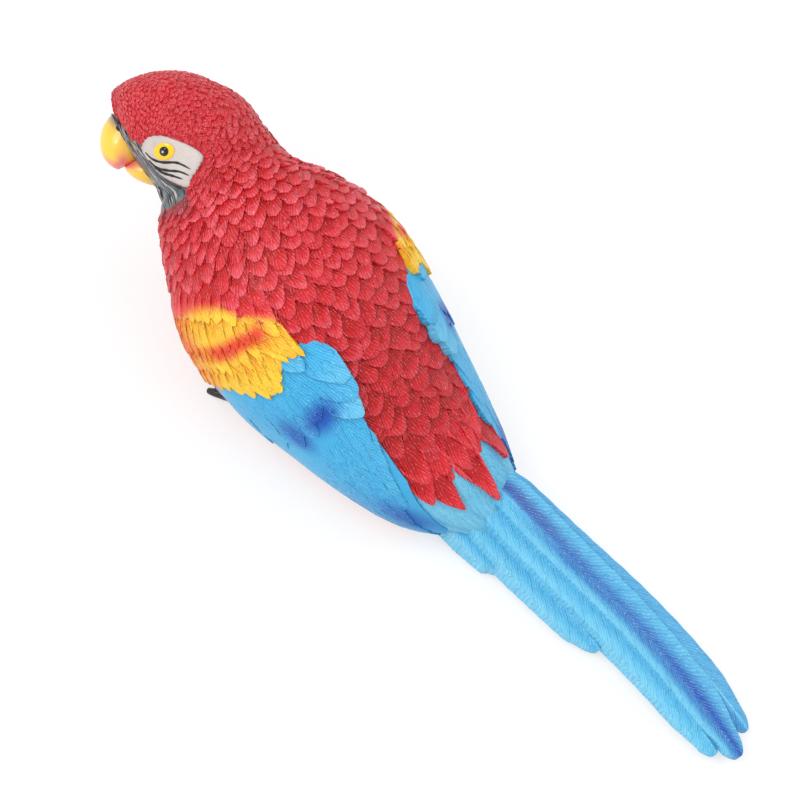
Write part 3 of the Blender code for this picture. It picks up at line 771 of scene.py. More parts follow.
def red_paint(u, v, brushed, tone):
    """Red of a feather: deep at the root as painted shade under the row above, paler at tip and rim from a
    dry brush and as painted highlight.
    """
    # Painted shade: deep red at the root, under the tip of the row above
    base = mixed(rgb("red_deep"), rgb("red"), smooth(0.45, 0.80, v) * (0.70 + 0.30 * tone))
    # Painted highlight, with dry brush work: pale red towards tip and rim
    tip_highlight = smooth(0.62, 0.95, v + 0.12 * np.abs(u)) * brushed * (0.25 + 0.75 * tone)
    return mixed(base, rgb("red_brushed_highlight"), tip_highlight)


def yellow_paint(along, angle, v, tone):
    """Yellow that is sprayed from red at the top and again along a stripe across it."""
    along, angle = as_left(along, angle)
    # Painted shade: deep yellow at the root, under the feather above
    base = mixed(rgb("yellow_deep"), rgb("yellow"), smooth(0.35, 0.75, v) * (0.6 + 0.4 * tone))
    stripe = np.interp(angle, *YELLOW_STRIPE)
    spray = smooth(4.2, 0.8, np.abs(along - stripe)) * smooth(44, 52, angle)
    base = mixed(base, rgb("orange"), spray * (1 - 0.45 * smooth(80, 92, angle)))
    past_top = along - np.interp(angle, *YELLOW_TOP)
    base = mixed(base, rgb("orange"), 0.6 * smooth(-2.5, 0.5, past_top))
    base = mixed(base, rgb("red"), smooth(-0.5, 4.0, past_top))
    return mixed(base, rgb("orange"), 0.5 * smooth(88, 108, angle))


def blue_paint(along, angle, v, tone, pale):
    """Blue of the wing, with sprayed shadows and pale edges from a dry brush."""
    along, angle = as_left(along, angle)
    base = mixed(rgb("blue"), rgb("blue_pale"), (0.15 + 0.6 * pale) * smooth(0.3, 1.0, v) * tone)
    shadow = np.zeros(np.shape(along))
    for spot in BLUE_SHADOWS:
        away = ((along - spot.along) / spot.length) ** 2 + ((angle - spot.angle) / spot.reach) ** 2
        shadow = np.maximum(shadow, spot.strength * np.exp(-1.2 * away**1.5))
    shade = 0.25 * smooth(-18.0, -45.0, along) * smooth(60.0, 95.0, angle)
    return mixed(mixed(base, rgb("blue_deep"), shade), rgb("blue_deep"), shadow)


Plan = namedtuple("Plan", "root tip root_angle tip_angle half lift twist tone round brushed")


def plan(rows):
    """Turns a list of feathers into one column array for each of their facts."""
    return Plan(*(np.array(column, float)[:, None] for column in zip(*rows)))


def feather_rule(feathers, colour_rule, column_lines, row_lines, crown, skirt=1.0, on_wing=False):
    """The placing rule for feathers that lie on the body and overlap like roof tiles."""

    def rule(x, y, z):
        u = np.interp(x, np.linspace(-1, 1, len(column_lines)), column_lines)
        v = np.interp(y, np.linspace(-1, 1, len(row_lines)), row_lines)
        f = feathers
        outline = 0.80 + 0.20 * np.sin(math.pi * v / 1.3) - 0.10 * v**8
        arc = 1 - np.sqrt(1 - (0.96 * np.clip(u + 0.5 * f.twist * (1 - u**2), -1, 1)) ** 2)
        ragged = 0.02 * np.sin(7.0 * u + 30.0 * f.tone) * v**6
        reach = v * (1 - f.round * (0.8 + 0.5 * f.tone) * arc * v**2) + ragged
        position = f.root + (f.tip - f.root) * reach
        centre = f.root_angle + (f.tip_angle - f.root_angle) * reach
        spread = BODY.degrees_per_mm((f.root + f.tip) / 2, (f.root_angle + f.tip_angle) / 2)
        angle = centre + u * outline * f.half * spread
        top = f.lift * (-0.35 + 1.35 * v**0.8) + crown * (1 - u**2) * f.lift * smooth(0.0, 0.4, v)
        rim = np.maximum(smooth(0.86, 1, np.abs(u)), smooth(0.95, 1, v))
        top = top + f.twist * u * v * f.lift - 0.22 * f.lift * rim
        along = np.interp(position, BODY.grid, BODY.alongs)
        ground = wing_lift(along, angle) if on_wing else 0.0
        lift = np.where(z > 0.5, top + ground, -skirt)
        points = BODY.point(position, angle, lift)
        length = BODY.lengths[-1] / BODY.last * (f.tip - f.root)
        spots = np.stack((u * outline * f.half, reach * length + 100 * f.tone), axis=-1) / CENTIMETRE
        return points, spots, colour_rule(points, along, angle, u, v)

    return rule


def scale_rows():
    """Feathers of the body from brow to rump, row by row, with the carver's unevenness."""
    zones = np.array(ZONES).T
    stop = BODY.lengths[np.searchsorted(-BODY.alongs, -LAST_ROW_ALONG)]
    at = ZONES[0].at
    found = []
    while at < stop:
        pitch, width, lift, rounded, brushed = (np.interp(at, zones[0], row) for row in zones[1:])
        position = BODY.at_length(at)
        girth = np.sum(1 / BODY.degrees_per_mm(np.full(360, position), np.arange(0.0, 360.0)))
        count = max(FEWEST_IN_ROW, int(girth / width))
        start = chance.uniform(0, 360 / count)
        angle = -180.0
        turns = []
        while angle < 180.0:
            turns.append(angle)
            angle += width * float(BODY.degrees_per_mm(position, angle))
        turns = np.array(turns) * (360.0 / (angle + 180.0)) + start
        for turn in turns:
            swing, slide, grow, rise, tone, twist = chance.uniform(-1, 1, 6)
            tip = BODY.at_length(at + pitch * (0.30 * slide))
            root = BODY.at_length(max(at - pitch * OVERLAP, 0.5))
            lean = 0.30 * swing * width * float(BODY.degrees_per_mm(position, turn))
            found.append((at, root, tip, turn, turn + lean, 0.61 * width * (1 + 0.16 * grow),
                          lift * (1 + 0.18 * rise), 0.35 * twist, 0.5 + 0.5 * tone, rounded, brushed))
        at += pitch
    return np.array(found)


def keep_scales(rows):
    """Leaves out feathers under the wings, on the face and below the flat."""
    position, angle = (rows[:, 1] + rows[:, 2]) / 2, (rows[:, 3] + rows[:, 4]) / 2
    angle = (angle + 180) % 360 - 180
    middle, tips = BODY.point(position, angle), BODY.point(rows[:, 2], rows[:, 4])
    along = np.interp(rows[:, 2], BODY.grid, BODY.alongs)
    left, right, lower, _ = wing_cut(along)
    upper = np.where(angle < 0, left, right)
    under_wing = (np.abs(angle) > upper + 4) & (np.abs(angle) < lower - 4) & (along < 26)
    under_wing |= (np.abs(angle) > 60) & (np.abs(angle) < 114) & (along < 44)
    left_along, left_angle = as_left(along, angle)
    on_yellow = left_along < np.interp(left_angle, *YELLOW_TOP) + 1.5
    under_wing |= (np.abs(angle) > upper) & (np.abs(angle) < 114) & on_yellow
    beside_wing = smooth(16.0, 5.0, upper - np.abs(angle)) * (along < 26)
    rows[:, 6] *= 1 - 0.6 * beside_wing
    on_bare = np.zeros(len(rows), bool)
    for spots in (middle, tips):
        forward, up = face_place(spots)
        on_bare |= inside(forward, up, BARE_SKIN) | inside(forward, up, CHEEK_PATCH)
    on_bare &= rows[:, 0] < HEAD_ENDS + 12
    return rows[~(under_wing | on_bare | (middle[:, 2] < -0.5))]


def body_colour(feathers):
    """Red that deepens down the back, and grey that fades into it at the throat."""

    def rule(points, along, angle, u, v):
        base = red_paint(u, v, feathers.brushed, feathers.tone)
        lower_back = smooth(30.0, -15.0, along) * 0.35
        base = mixed(base, base * np.array((0.72, 0.45, 0.5)), lower_back)
        forward, up = face_place(points)
        throat = smooth(-24.0, -18.0, up) * smooth(-14.0, -17.0, up)
        fade = smooth(3.0, 0.0, np.abs(forward - 1.0) - 5.0) * throat
        return with_strength(mixed(base, rgb("band"), 0.45 * fade * (along > FACE_FROM)))

    return rule


def make_scales(name, rows, finish, columns, row_count):
    """One piece for all the feathers of a part of the body."""
    feathers = plan(rows[:, 1:])
    rule = feather_rule(feathers, body_colour(feathers), lines(columns), long_lines(row_count), 0.2)
    return piece(name, blade(columns, row_count), finish, rule, len(rows))


def long_lines(count):
    """Grid lines from root to tip, closer together near the tip."""
    spots = np.linspace(0, 1, count + 1) ** 0.8
    spots[-2] = 0.93
    return spots


def guided(row, side):
    """Feathers of a laid row, spaced evenly along its guides."""
    guides = np.array(row.guides, float)
    shares = np.linspace(0, 1, row.count)
    steps = np.linspace(0, 1, len(guides))
    facts = [np.interp(shares, steps, column) for column in guides.T]
    found = []
    for root, root_angle, tip, tip_angle in zip(*facts):
        swing, slide, grow, rise, tone, twist = chance.uniform(-1, 1, 6)
        if side > 0 and row in WING_ROWS:
            root, root_angle = as_right(root, root_angle)
            tip, tip_angle = as_right(tip, tip_angle)
        found.append((BODY.at_along(root), BODY.at_along(tip + 0.5 * slide), side * root_angle,
                      side * (tip_angle + 0.6 * swing), row.half_width * (1 + 0.06 * grow),
                      row.lift * (1 + 0.08 * rise), 0.12 * twist, 0.5 + 0.5 * tone, row.round, 0.5))
    return plan(found)


def laid_colour(row, feathers):
    """The paint of a row that lies along the body; red of the shoulder is sprayed into yellow."""

    def rule(points, along, angle, u, v):
        if row.paint == "red":
            base = red_paint(u, v, 0.45, feathers.tone)
            if row.name == "shoulder":
                left_along, left_angle = as_left(along, angle)
                past_top = left_along - np.interp(left_angle, *YELLOW_TOP)
                sprayed = yellow_paint(along, angle, v, feathers.tone)
                base = mixed(sprayed, base, smooth(-4.0, 1.0, past_top))
        elif row.paint == "yellow":
            base = yellow_paint(along, angle, v, feathers.tone)
        else:
            base = blue_paint(along, angle, v, feathers.tone, row.paint == "blue_pale")
        return with_strength(base)

    return rule


def shell_rule(sections, side, colour_rule):
    """The placing rule for a shell that stands proud of the body."""
    cuts = np.array(sections, float)

    def rule(x, y, z):
        step = np.linspace(-1, 1, len(cuts))
        along, left, right, lower, lift = (np.interp(y, step, column) for column in cuts.T)
        upper = left if side < 0 else right
        share = (x + 1) / 2
        angle = side * (upper + (lower - upper) * share)
        full = np.sin(math.pi * np.clip(share, 0.08, 0.92)) ** 0.35
        position = BODY.at_along(along)
        points = BODY.point(position, angle, np.where(z > 0.5, lift * full, -SHELL_DEPTH))
        girth = np.radians(angle) * 30
        return points, np.stack((girth, -along), axis=-1) / CENTIMETRE, colour_rule(along, angle)

    return rule


def bill_rule(profiles, colour_rule):
    """The placing rule for a tube whose cuts are ellipses between an upper and a lower point."""
    upper, lower = (np.array([getattr(cut, end) for cut in profiles]) for end in ("upper", "lower"))
    widths = np.array([cut.half_width for cut in profiles])

    def rule(x, y, z):
        share = (z + 1) / 2
        turn = np.arctan2(x, y)
        top, bottom, half = curve(upper, share), curve(lower, share), curve(widths, share)
        centre, reach = (top + bottom) / 2, (top - bottom) / 2
        spot = centre + reach * np.cos(turn)[..., None]
        points = on_face(spot[..., 0], spot[..., 1], half * np.sin(turn))
        return points, np.stack((turn, share), axis=-1), with_strength(colour_rule(turn, share))

    return rule


def tube(sides, cuts):
    """A closed tube along z from -1 to 1 with a radius of one."""
    shape = bmesh.new()
    bmesh.ops.create_circle(shape, cap_ends=False, segments=sides, radius=1.0)
    bmesh.ops.translate(shape, vec=(0, 0, -1), verts=shape.verts)
    rim = shape.edges[:]
    for _ in range(cuts):
        grown = bmesh.ops.extrude_edge_only(shape, edges=rim)["geom"]
        ring = [vert for vert in grown if isinstance(vert, bmesh.types.BMVert)]
        rim = [edge for edge in grown if isinstance(edge, bmesh.types.BMEdge) and edge.is_boundary]
        bmesh.ops.translate(shape, vec=(0, 0, 2 / cuts), verts=ring)
    bmesh.ops.holes_fill(shape, edges=shape.edges)
    bmesh.ops.recalc_face_normals(shape, faces=shape.faces)
    return shape


def soften(mesh, times):
    """Evens out the small waves that the cuts leave, as sanding does."""
    shape = bmesh.new()
    shape.from_mesh(mesh)
    for _ in range(times):
        bmesh.ops.smooth_vert(
            shape, verts=shape.verts, factor=0.5, use_axis_x=True, use_axis_y=True, use_axis_z=True)
    shape.to_mesh(mesh)
    shape.free()


class Ground:
    """The surface that the face's details lie on, found by looking at it from the side."""

    def __init__(self, objects):
        points, faces = [], []
        for thing in objects:
            first = len(points)
            points += [vert.co / METRES for vert in thing.data.vertices]
            faces += [[first + i for i in face.vertices] for face in thing.data.polygons]
        self.tree = BVHTree.FromPolygons(points, faces)

    def lay(self, forward, up, side, lift):
        """Points on one cheek, lifted towards the viewer of that cheek."""
        spots = on_face(forward, up, side * SIGHT)
        flat = spots.reshape(-1, 3)
        found = np.empty_like(flat)
        for i, start in enumerate(flat):
            hit = self.tree.ray_cast(Vector(start), Vector(CHEEK * -side))[0]
            found[i] = hit if hit else start - CHEEK * side * (SIGHT - NOTHING_SEEN)
        return found.reshape(spots.shape) + CHEEK * (side * np.asarray(lift)[..., None])


def widened(spot, path, share, x, y, half_width):
    """Places across a brush stroke, which is thin at both ends."""
    ahead = curve(path, share + 0.02) - curve(path, share - 0.02)
    ahead = ahead / np.linalg.norm(ahead, axis=-1, keepdims=True)
    across = np.stack((-ahead[..., 1], ahead[..., 0]), axis=-1)
    width = half_width * np.sin(math.pi * (0.06 + 0.9 * (y + 1) / 2)) ** 0.7
    return spot + across * (x * width)[..., None]


def stroke_rule(ground, path, side, half_width, lift, wobble=0.0):
    """The placing rule for one black line along a path on the cheek."""
    path = np.array(path, float)

    def rule(x, y, z):
        share = (y + 1) / 2
        half = half_width * (1 + wobble * np.sin(share * 31.0))
        spot = widened(curve(path, share), path, share, x, y, half)
        height = np.where(z > 0.5, lift * (1 - 0.7 * x**2), -STROKE_DEPTH)
        points = ground.lay(spot[..., 0], spot[..., 1], side, height)
        paint = np.broadcast_to(rgb("line"), points.shape)
        return points, np.stack((x, share), axis=-1), with_strength(paint)

    return rule


class FIGURINE_OT_casting(bpy.types.Operator):
    """Body of the casting under the feathers, with its flat back and the blind hole it hangs by"""

    bl_idname = "figurine.casting"
    bl_label = "Casting"

    def execute(self, context):
        def rule(x, y, z):
            position = (z + 1) / 2 * BODY.last
            angle = np.degrees(np.arctan2(x, y))
            points = BODY.point(position, angle)
            # Mostly deep red: painted shade where the casting shows between the feathers
            base = mixed(rgb("red_deep"), rgb("red"), np.full(points.shape[:-1], 0.2))
            forward, up = face_place(points)
            base = mixed(base, rgb("band"), inside(forward, up, BARE_SKIN) & (points[..., 1] > FACE_FROM))
            base = mixed(base, rgb("blue"), smooth(-52.0, -60.0, points[..., 1]))
            return points, np.stack((angle, position), axis=-1), with_strength(base)

        made = piece("casting", tube(96, 150), "under_paint", rule, above=-100.0)
        self.cut_flat(made.data)
        self.sink_hole(made)
        return {"FINISHED"}

    def cut_flat(self, mesh):
        """Cuts the casting level where it meets the wall."""
        shape = bmesh.new()
        shape.from_mesh(mesh)
        everything = shape.verts[:] + shape.edges[:] + shape.faces[:]
        bmesh.ops.bisect_plane(shape, geom=everything, plane_no=(0, 0, -1), clear_outer=True)
        rim = [edge for edge in shape.edges if edge.is_boundary]
        bmesh.ops.edgeloop_fill(shape, edges=rim)
        bmesh.ops.recalc_face_normals(shape, faces=shape.faces)
        shape.to_mesh(mesh)
        shape.free()

    def sink_hole(self, casting):
        """Sinks the blind hole for the hook into the flat."""
        drill = bmesh.new()
        bmesh.ops.create_cone(drill, cap_ends=True, segments=48, radius1=1.0, radius2=1.0, depth=2.0)

        def rule(x, y, z):
            radius, along, depth = (HANG_HOLE[name] for name in ("radius", "along", "depth"))
            points = np.stack((x * radius, y * radius + along, z * depth), axis=-1)
            paint = np.broadcast_to(rgb("red_deep"), points.shape)
            return points, np.stack((x, y), axis=-1), with_strength(paint, 0.0)

        cutter = shaped("drill", drill, "under_paint", rule, above=-100.0)
        step = casting.modifiers.new("hanging_hole", "BOOLEAN")
        step.operation, step.solver, step.object = "DIFFERENCE", "EXACT", cutter
        cut = casting.evaluated_get(bpy.context.evaluated_depsgraph_get())
        mesh = bpy.data.meshes.new_from_object(cut)
        casting.modifiers.clear()
        casting.data = mesh
        bpy.data.meshes.remove(cutter.data)


class FIGURINE_OT_scales(bpy.types.Operator):
    """Small overlapping feathers of head, neck, back and belly"""

    bl_idname = "figurine.scales"
    bl_label = "Scale feathers"

    def execute(self, context):
        rows = keep_scales(scale_rows())
        head = rows[:, 0] < HEAD_ENDS
        neck = (rows[:, 0] >= HEAD_ENDS) & (rows[:, 0] < NECK_ENDS)
        make_scales("head_feathers", rows[head], "head_feathers", 4, 3)
        make_scales("neck_feathers", rows[neck], "scale_feathers", 4, 4)
        make_scales("back_feathers", rows[~head & ~neck], "scale_feathers", 6, 5)
        return {"FINISHED"}


class FIGURINE_OT_wings(bpy.types.Operator):
    """Folded wings with their yellow coverts and blue flight feathers"""

    bl_idname = "figurine.wings"
    bl_label = "Wings"

    def execute(self, context):
        for side, hand in ((-1, "left"), (1, "right")):
            rule = shell_rule(WING_SECTIONS, side, self.tint)
            piece(f"wing_{hand}", blade(28, 60, False), "wing_feathers", rule)
            for row in WING_ROWS:
                feathers = guided(row, side)
                fine = 10 if row.half_width > 5 else 8
                rule = feather_rule(feathers, laid_colour(row, feathers), lines(fine), long_lines(12),
                                    0.25, 1.5, on_wing=True)
                piece(f"{row.name}_{hand}", blade(fine, 12), "wing_feathers", rule, row.count)
        return {"FINISHED"}

    def tint(self, along, angle):
        blue = blue_paint(along, angle, np.full(angle.shape, 0.5), 0.6, 0)
        yellow = yellow_paint(along, angle, np.full(angle.shape, 0.3), 0.2)
        return with_strength(mixed(blue, yellow, smooth(22.0, 26.0, as_left(along, angle)[0])), 0.8)


class FIGURINE_OT_rump(bpy.types.Operator):
    """Long pointed feathers of the rump, over the root of the tail"""

    bl_idname = "figurine.rump"
    bl_label = "Rump"

    def execute(self, context):
        rule = shell_rule(TAIL_ROOT_SECTIONS, 1, self.tint)
        piece("tail_root", blade(32, 16, False), "tail_feathers", rule)
        for row in RUMP_ROWS:
            feathers = guided(row, 1)
            rule = feather_rule(feathers, laid_colour(row, feathers), lines(10), long_lines(12), 0.3, 1.5)
            piece(row.name, blade(10, 12), "scale_feathers", rule, row.count)
        return {"FINISHED"}

    def tint(self, along, angle):
        """Blue with the shafts and joints of the long feathers that run on beneath."""
        base = mixed(rgb("blue"), rgb("blue_pale"), 0.3 + 0.35 * smooth(60.0, -40.0, angle))
        from_joint = np.abs((angle + 8.0) / 34.0 % 1.0 - 0.5)
        base = mixed(base, rgb("blue_deep"), 0.25 * smooth(0.38, 0.5, from_joint))
        return with_strength(mixed(base, rgb("blue_pale"), 0.6 * smooth(0.06, 0.0, from_joint)))


class FIGURINE_OT_tail(bpy.types.Operator):
    """Long tail feathers with raised shafts and carved vanes"""

    bl_idname = "figurine.tail"
    bl_label = "Tail"

    def execute(self, context):
        for order, quill in enumerate(TAIL_QUILLS):
            piece(f"tail_{quill.name}", blade(14, 90, False), "tail_feathers", self.rule(quill, order))
        return {"FINISHED"}

    def rule(self, quill, order):
        top_quill = quill.name == "centre"

        def rule(x, y, z):
            u = np.sign(x) * np.abs(x) ** 1.25
            v = (y + 1) / 2
            width = curve((0.9, 1.0, 1.0, 1.0, 1.0, 1.0, 0.95, 0.62), v**1.15)
            half = quill.half_width * width * (1 - 0.3 * smooth(0.18, 0.0, v))
            half = half * (1 + 0.012 * np.sin(v * 97.0 + order) * np.abs(u))
            tip_round = min(5.0, 0.1 * (quill.root_y - quill.tip_y)) * u**2 * smooth(0.8, 1.0, v)
            along = quill.root_y + (quill.tip_y - quill.root_y) * v + tip_round
            centre = quill.root_x + (quill.tip_x - quill.root_x) * v
            centre = centre - TAIL_BEND * np.minimum(0.0, along - TAIL_BEND_FROM) ** 2
            top = quill.root_top + (quill.tip_top - quill.root_top) * v**0.6
            from_shaft = u + 0.3 * (1 - u**2) * top_quill
            shaft = np.exp(-((from_shaft * half) / 0.55) ** 2) * (0.55 if top_quill else 0.4)
            vane = top - 0.45 - 0.7 * np.abs(u) ** 1.6 - 0.4 * smooth(0.93, 1.0, np.abs(u)) + shaft
            vane = vane - 0.6 * smooth(0.97, 1.0, v) - 5.0 * smooth(0.16, 0.0, v)
            bottom = 6.0 + (2.0 - 6.0) * np.minimum(1.0, 2 * v) + 0.25 * order
            points = np.stack((centre + u * half, along, np.where(z > 0.5, vane, bottom)), axis=-1)
            spots = np.stack((from_shaft * half, -along + 7 * order), axis=-1) / CENTIMETRE
            return points, spots, self.tint(quill, from_shaft, v, along)

        return rule

    def tint(self, quill, u, v, along):
        """Pale left vanes and shafts, and deep blue and violet sprayed along the top feather."""
        pale = 0.35 + smooth(0.05, 0.3, v) * (0.4 * smooth(0.3, 1.0, -u) - 0.05 * smooth(0.6, 0.0, u))
        base = mixed(rgb("blue"), rgb("blue_pale"), pale)
        if quill.name == "centre":
            right = smooth(1.05, 0.1, u) * (u > 0) * (0.75 + 0.25 * smooth(-130.0, -175.0, along))
            left = 0.75 * smooth(-0.75, -0.05, u) * (u <= 0) * smooth(-70.0, -105.0, along)
            base = mixed(base, rgb("blue_deep"), right + left)
            violet = smooth(0.0, 0.35, u) * smooth(0.95, 0.45, u) * smooth(-118.0, -72.0, along)
            base = mixed(base, rgb("violet"), 0.6 * violet)
        elif quill.name == "long_right":
            base = mixed(base, rgb("blue_deep"), 0.22 + 0.3 * smooth(0.3, 0.0, np.abs(u + 0.4)))
        else:
            base = mixed(base, rgb("blue_deep"), 0.22 * smooth(0.5, 0.0, np.abs(u - 0.3)))
        shaft = np.exp(-(u * quill.half_width / 0.4) ** 2)
        return with_strength(mixed(base, rgb("blue_pale"), 0.85 * shaft))


class FIGURINE_OT_bill(bpy.types.Operator):
    """Hooked bill in two halves, and the band of skin behind it"""

    bl_idname = "figurine.bill"
    bl_label = "Bill"

    def execute(self, context):
        bills = (("upper_bill", UPPER_BILL, self.upper_tint), ("lower_bill", LOWER_BILL, self.lower_tint))
        for name, profiles, tint in bills:
            made = piece(name, tube(48, 36), "bill_paint", bill_rule(profiles, tint))
            soften(made.data, 8)
        piece("cere", tube(48, 24), "band_paint", bill_rule(CERE, self.cere_tint))
        return {"FINISHED"}

    def upper_tint(self, turn, share):
        """Pink at the cutting edge and the tip, ochre at the root, and grey over the nostrils."""
        low = smooth(0.0, -0.75, np.cos(turn))
        edge = np.clip(low * smooth(0.15, 0.5, share) + smooth(0.55, 0.88, share), 0, 1)
        base = mixed(rgb("bill"), rgb("bill_edge"), edge)
        base = mixed(base, rgb("bill_shade"), 0.6 * smooth(0.35, 0.1, share))
        grey = smooth(0.27, 0.17, share) * smooth(0.1, 0.7, np.cos(turn))
        return mixed(base, rgb("band") * 1.5, 0.8 * grey)

    def lower_tint(self, turn, share):
        edge = smooth(-0.4, 0.6, np.cos(turn)) * smooth(0.1, 0.6, share)
        base = mixed(rgb("bill"), rgb("bill_edge"), edge)
        return mixed(base, rgb("bill_shade"), 0.6 * smooth(0.5, 0.1, share))

    def cere_tint(self, turn, share):
        return np.broadcast_to(rgb("band"), (*turn.shape, 3))


class FIGURINE_OT_face(bpy.types.Operator):
    """Bare cheeks with their feather lines, and the streaked band down to the throat"""

    bl_idname = "figurine.face"
    bl_label = "Face"

    def execute(self, context):
        head = [bpy.data.objects[name] for name in ("casting", "cere", "upper_bill", "lower_bill")]
        for side, hand in ((1, "left"), (-1, "right")):
            cheek = self.cheek(Ground(head), side, hand)
            skin = Ground([*head, cheek])
            for i, path in enumerate(CHEEK_LINES):
                rule = stroke_rule(skin, path, side, 0.42, 0.30, wobble=0.12)
                piece(f"cheek_line_{hand}_{i}", blade(4, 40, False), "line_paint", rule)
            for i, path in enumerate(NOSTRILS):
                rule = stroke_rule(skin, path, side, 0.75, 0.25)
                piece(f"nostril_{hand}_{i}", blade(4, 12, False), "line_paint", rule)
            self.streaks(skin, side, hand)
        return {"FINISHED"}

    def cheek(self, ground, side, hand):
        """The bare patch round the eye, with a raised and slightly uneven rim."""
        outline = np.array(CHEEK_PATCH + CHEEK_PATCH[:1])
        middle = outline[:-1].mean(axis=0)

        def rule(x, y, z):
            turn = (np.arctan2(x, y) / (2 * math.pi)) % 1.0
            share = (z + 1) / 2
            cuts = (0, 0.12, 0.2, 0.5, 1.0)
            spread = np.interp(share, cuts, (1.0, 1.0, 0.95, 0.6, 0.02))
            lift = np.interp(share, cuts, (-2.0, 0.55, 0.95, 1.0, 1.0))
            edge = curve(outline, turn) + 0.12 * np.sin(turn * 190.0)[..., None]
            spot = middle + (edge - middle) * spread[..., None]
            points = ground.lay(spot[..., 0], spot[..., 1], side, lift)
            paint = mixed(rgb("skin"), rgb("band"), 0.25 * smooth(0.3, 0.1, share))
            return points, np.stack((turn, share), axis=-1), with_strength(paint)

        return piece(f"cheek_{hand}", tube(96, 24), "skin_paint", rule)

    def streaks(self, ground, side, hand):
        """Short brush strokes of grey, black and white, laid from the bill down to the throat."""
        tints = (rgb("line"), rgb("band") * 0.55, rgb("band") * 1.6, rgb("skin") * 0.75)
        back, front = np.array(BAND_BACK), np.array(BAND_FRONT)
        starts = chance.uniform(0.0, 0.92, STREAKS)
        sides = chance.uniform(0.0, 1.0, STREAKS)
        lengths = np.minimum(chance.uniform(0.08, 0.2, STREAKS), 1.0 - starts)
        halves = chance.uniform(0.16, 0.38, STREAKS)
        picks = chance.integers(0, len(tints), STREAKS)

        def rule(x, y, z):
            share = starts[:, None] + lengths[:, None] * (y + 1) / 2
            keep = np.clip(sides[:, None] + 0.06 * np.sin(share * 9.0), 0, 1)[..., None]
            spot = curve(back, share) * (1 - keep) + curve(front, share) * keep
            spot = widened(spot, back, share, x, y, halves[:, None])
            height = np.where(z > 0.5, 0.3 * (1 - 0.6 * x**2), -STROKE_DEPTH)
            points = ground.lay(spot[..., 0], spot[..., 1], side, height)
            paint = np.broadcast_to(np.array(tints)[picks][:, None, :], points.shape)
            return points, np.stack((x, share), axis=-1), with_strength(paint)

        piece(f"streaks_{hand}", blade(2, 8), "band_paint", rule, STREAKS)


class FIGURINE_OT_eyes(bpy.types.Operator):
    """Domed irises and glossy pupils, each with a painted highlight"""

    bl_idname = "figurine.eyes"
    bl_label = "Eyes"

    def execute(self, context):
        tints = {"iris": rgb("iris"), "pupil": rgb("line") * 0.4}
        for side, hand in ((1, "left"), (-1, "right")):
            ground = Ground([bpy.data.objects[f"cheek_{hand}"]])
            for name, (length, height, low, high) in EYE_SHAPES.items():
                def rule(x, y, z):
                    turn, share = np.arctan2(x, y), (z + 1) / 2
                    bulge = np.clip((share - 0.25) / 0.75, 0, 1)
                    spread = np.cos(bulge * math.pi / 2) + 0.004
                    rise = np.where(share < 0.25, -2.0 + (low + 2.0) * share / 0.25,
                                    low + (high - low) * np.sin(bulge * math.pi / 2))
                    across, upward = length * spread * np.cos(turn), height * spread * np.sin(turn)
                    points = ground.lay(EYE_MIDDLE[0] + across, EYE_MIDDLE[1] + upward, side, rise)
                    rim = 0.35 * smooth(0.45, 0.25, share) if name == "iris" else np.zeros(share.shape)
                    paint = mixed(tints[name], rgb("yellow_deep"), rim)
                    if name == "pupil":
                        # Painted highlight: a white spot on the pupil stands for the glint of a lamp
                        away = np.hypot(across - PAINTED_GLINT["forward"], upward - PAINTED_GLINT["up"])
                        glint_spot = smooth(PAINTED_GLINT["radius"], PAINTED_GLINT["core"], away) * (share > 0.3)
                        paint = mixed(paint, rgb("skin"), glint_spot)
                    return points, np.stack((turn, share), axis=-1), with_strength(paint)

                piece(f"{name}_{hand}", tube(40, 20), "eye_gloss", rule)
        return {"FINISHED"}


class FIGURINE_OT_feet(bpy.types.Operator):
    """Toes with curved claws that grip the wall"""

    bl_idname = "figurine.feet"
    bl_label = "Feet"

    def execute(self, context):
        for side, hand in ((1, "left"), (-1, "right")):
            for name, path in TOE_PATHS.items():
                path = np.array(path, float) * (side, 1, 1)

                def rule(x, y, z):
                    share = (z + 1) / 2
                    spot = curve(path, share)
                    ahead = curve(path, share + 0.01) - curve(path, share - 0.01)
                    ahead = ahead / np.linalg.norm(ahead, axis=-1, keepdims=True)
                    level = np.cross(ahead, (0.0, 0.0, 1.0))
                    level = level / np.linalg.norm(level, axis=-1, keepdims=True)
                    upright = np.cross(level, ahead)
                    scales = 1 + 0.06 * np.abs(np.sin(share * 40.0)) * (share < 0.6)
                    radius = TOE_RADIUS * np.interp(share, *TOE_TAPER) * scales
                    points = spot + (level * x[..., None] + upright * y[..., None]) * radius[..., None]
                    paint = mixed(rgb("claw"), rgb("line"), smooth(0.6, 0.7, share))
                    return points, np.stack((x, share), axis=-1), with_strength(paint)

                piece(f"{name}_{hand}", tube(20, 40), "claw_paint", rule)
        return {"FINISHED"}


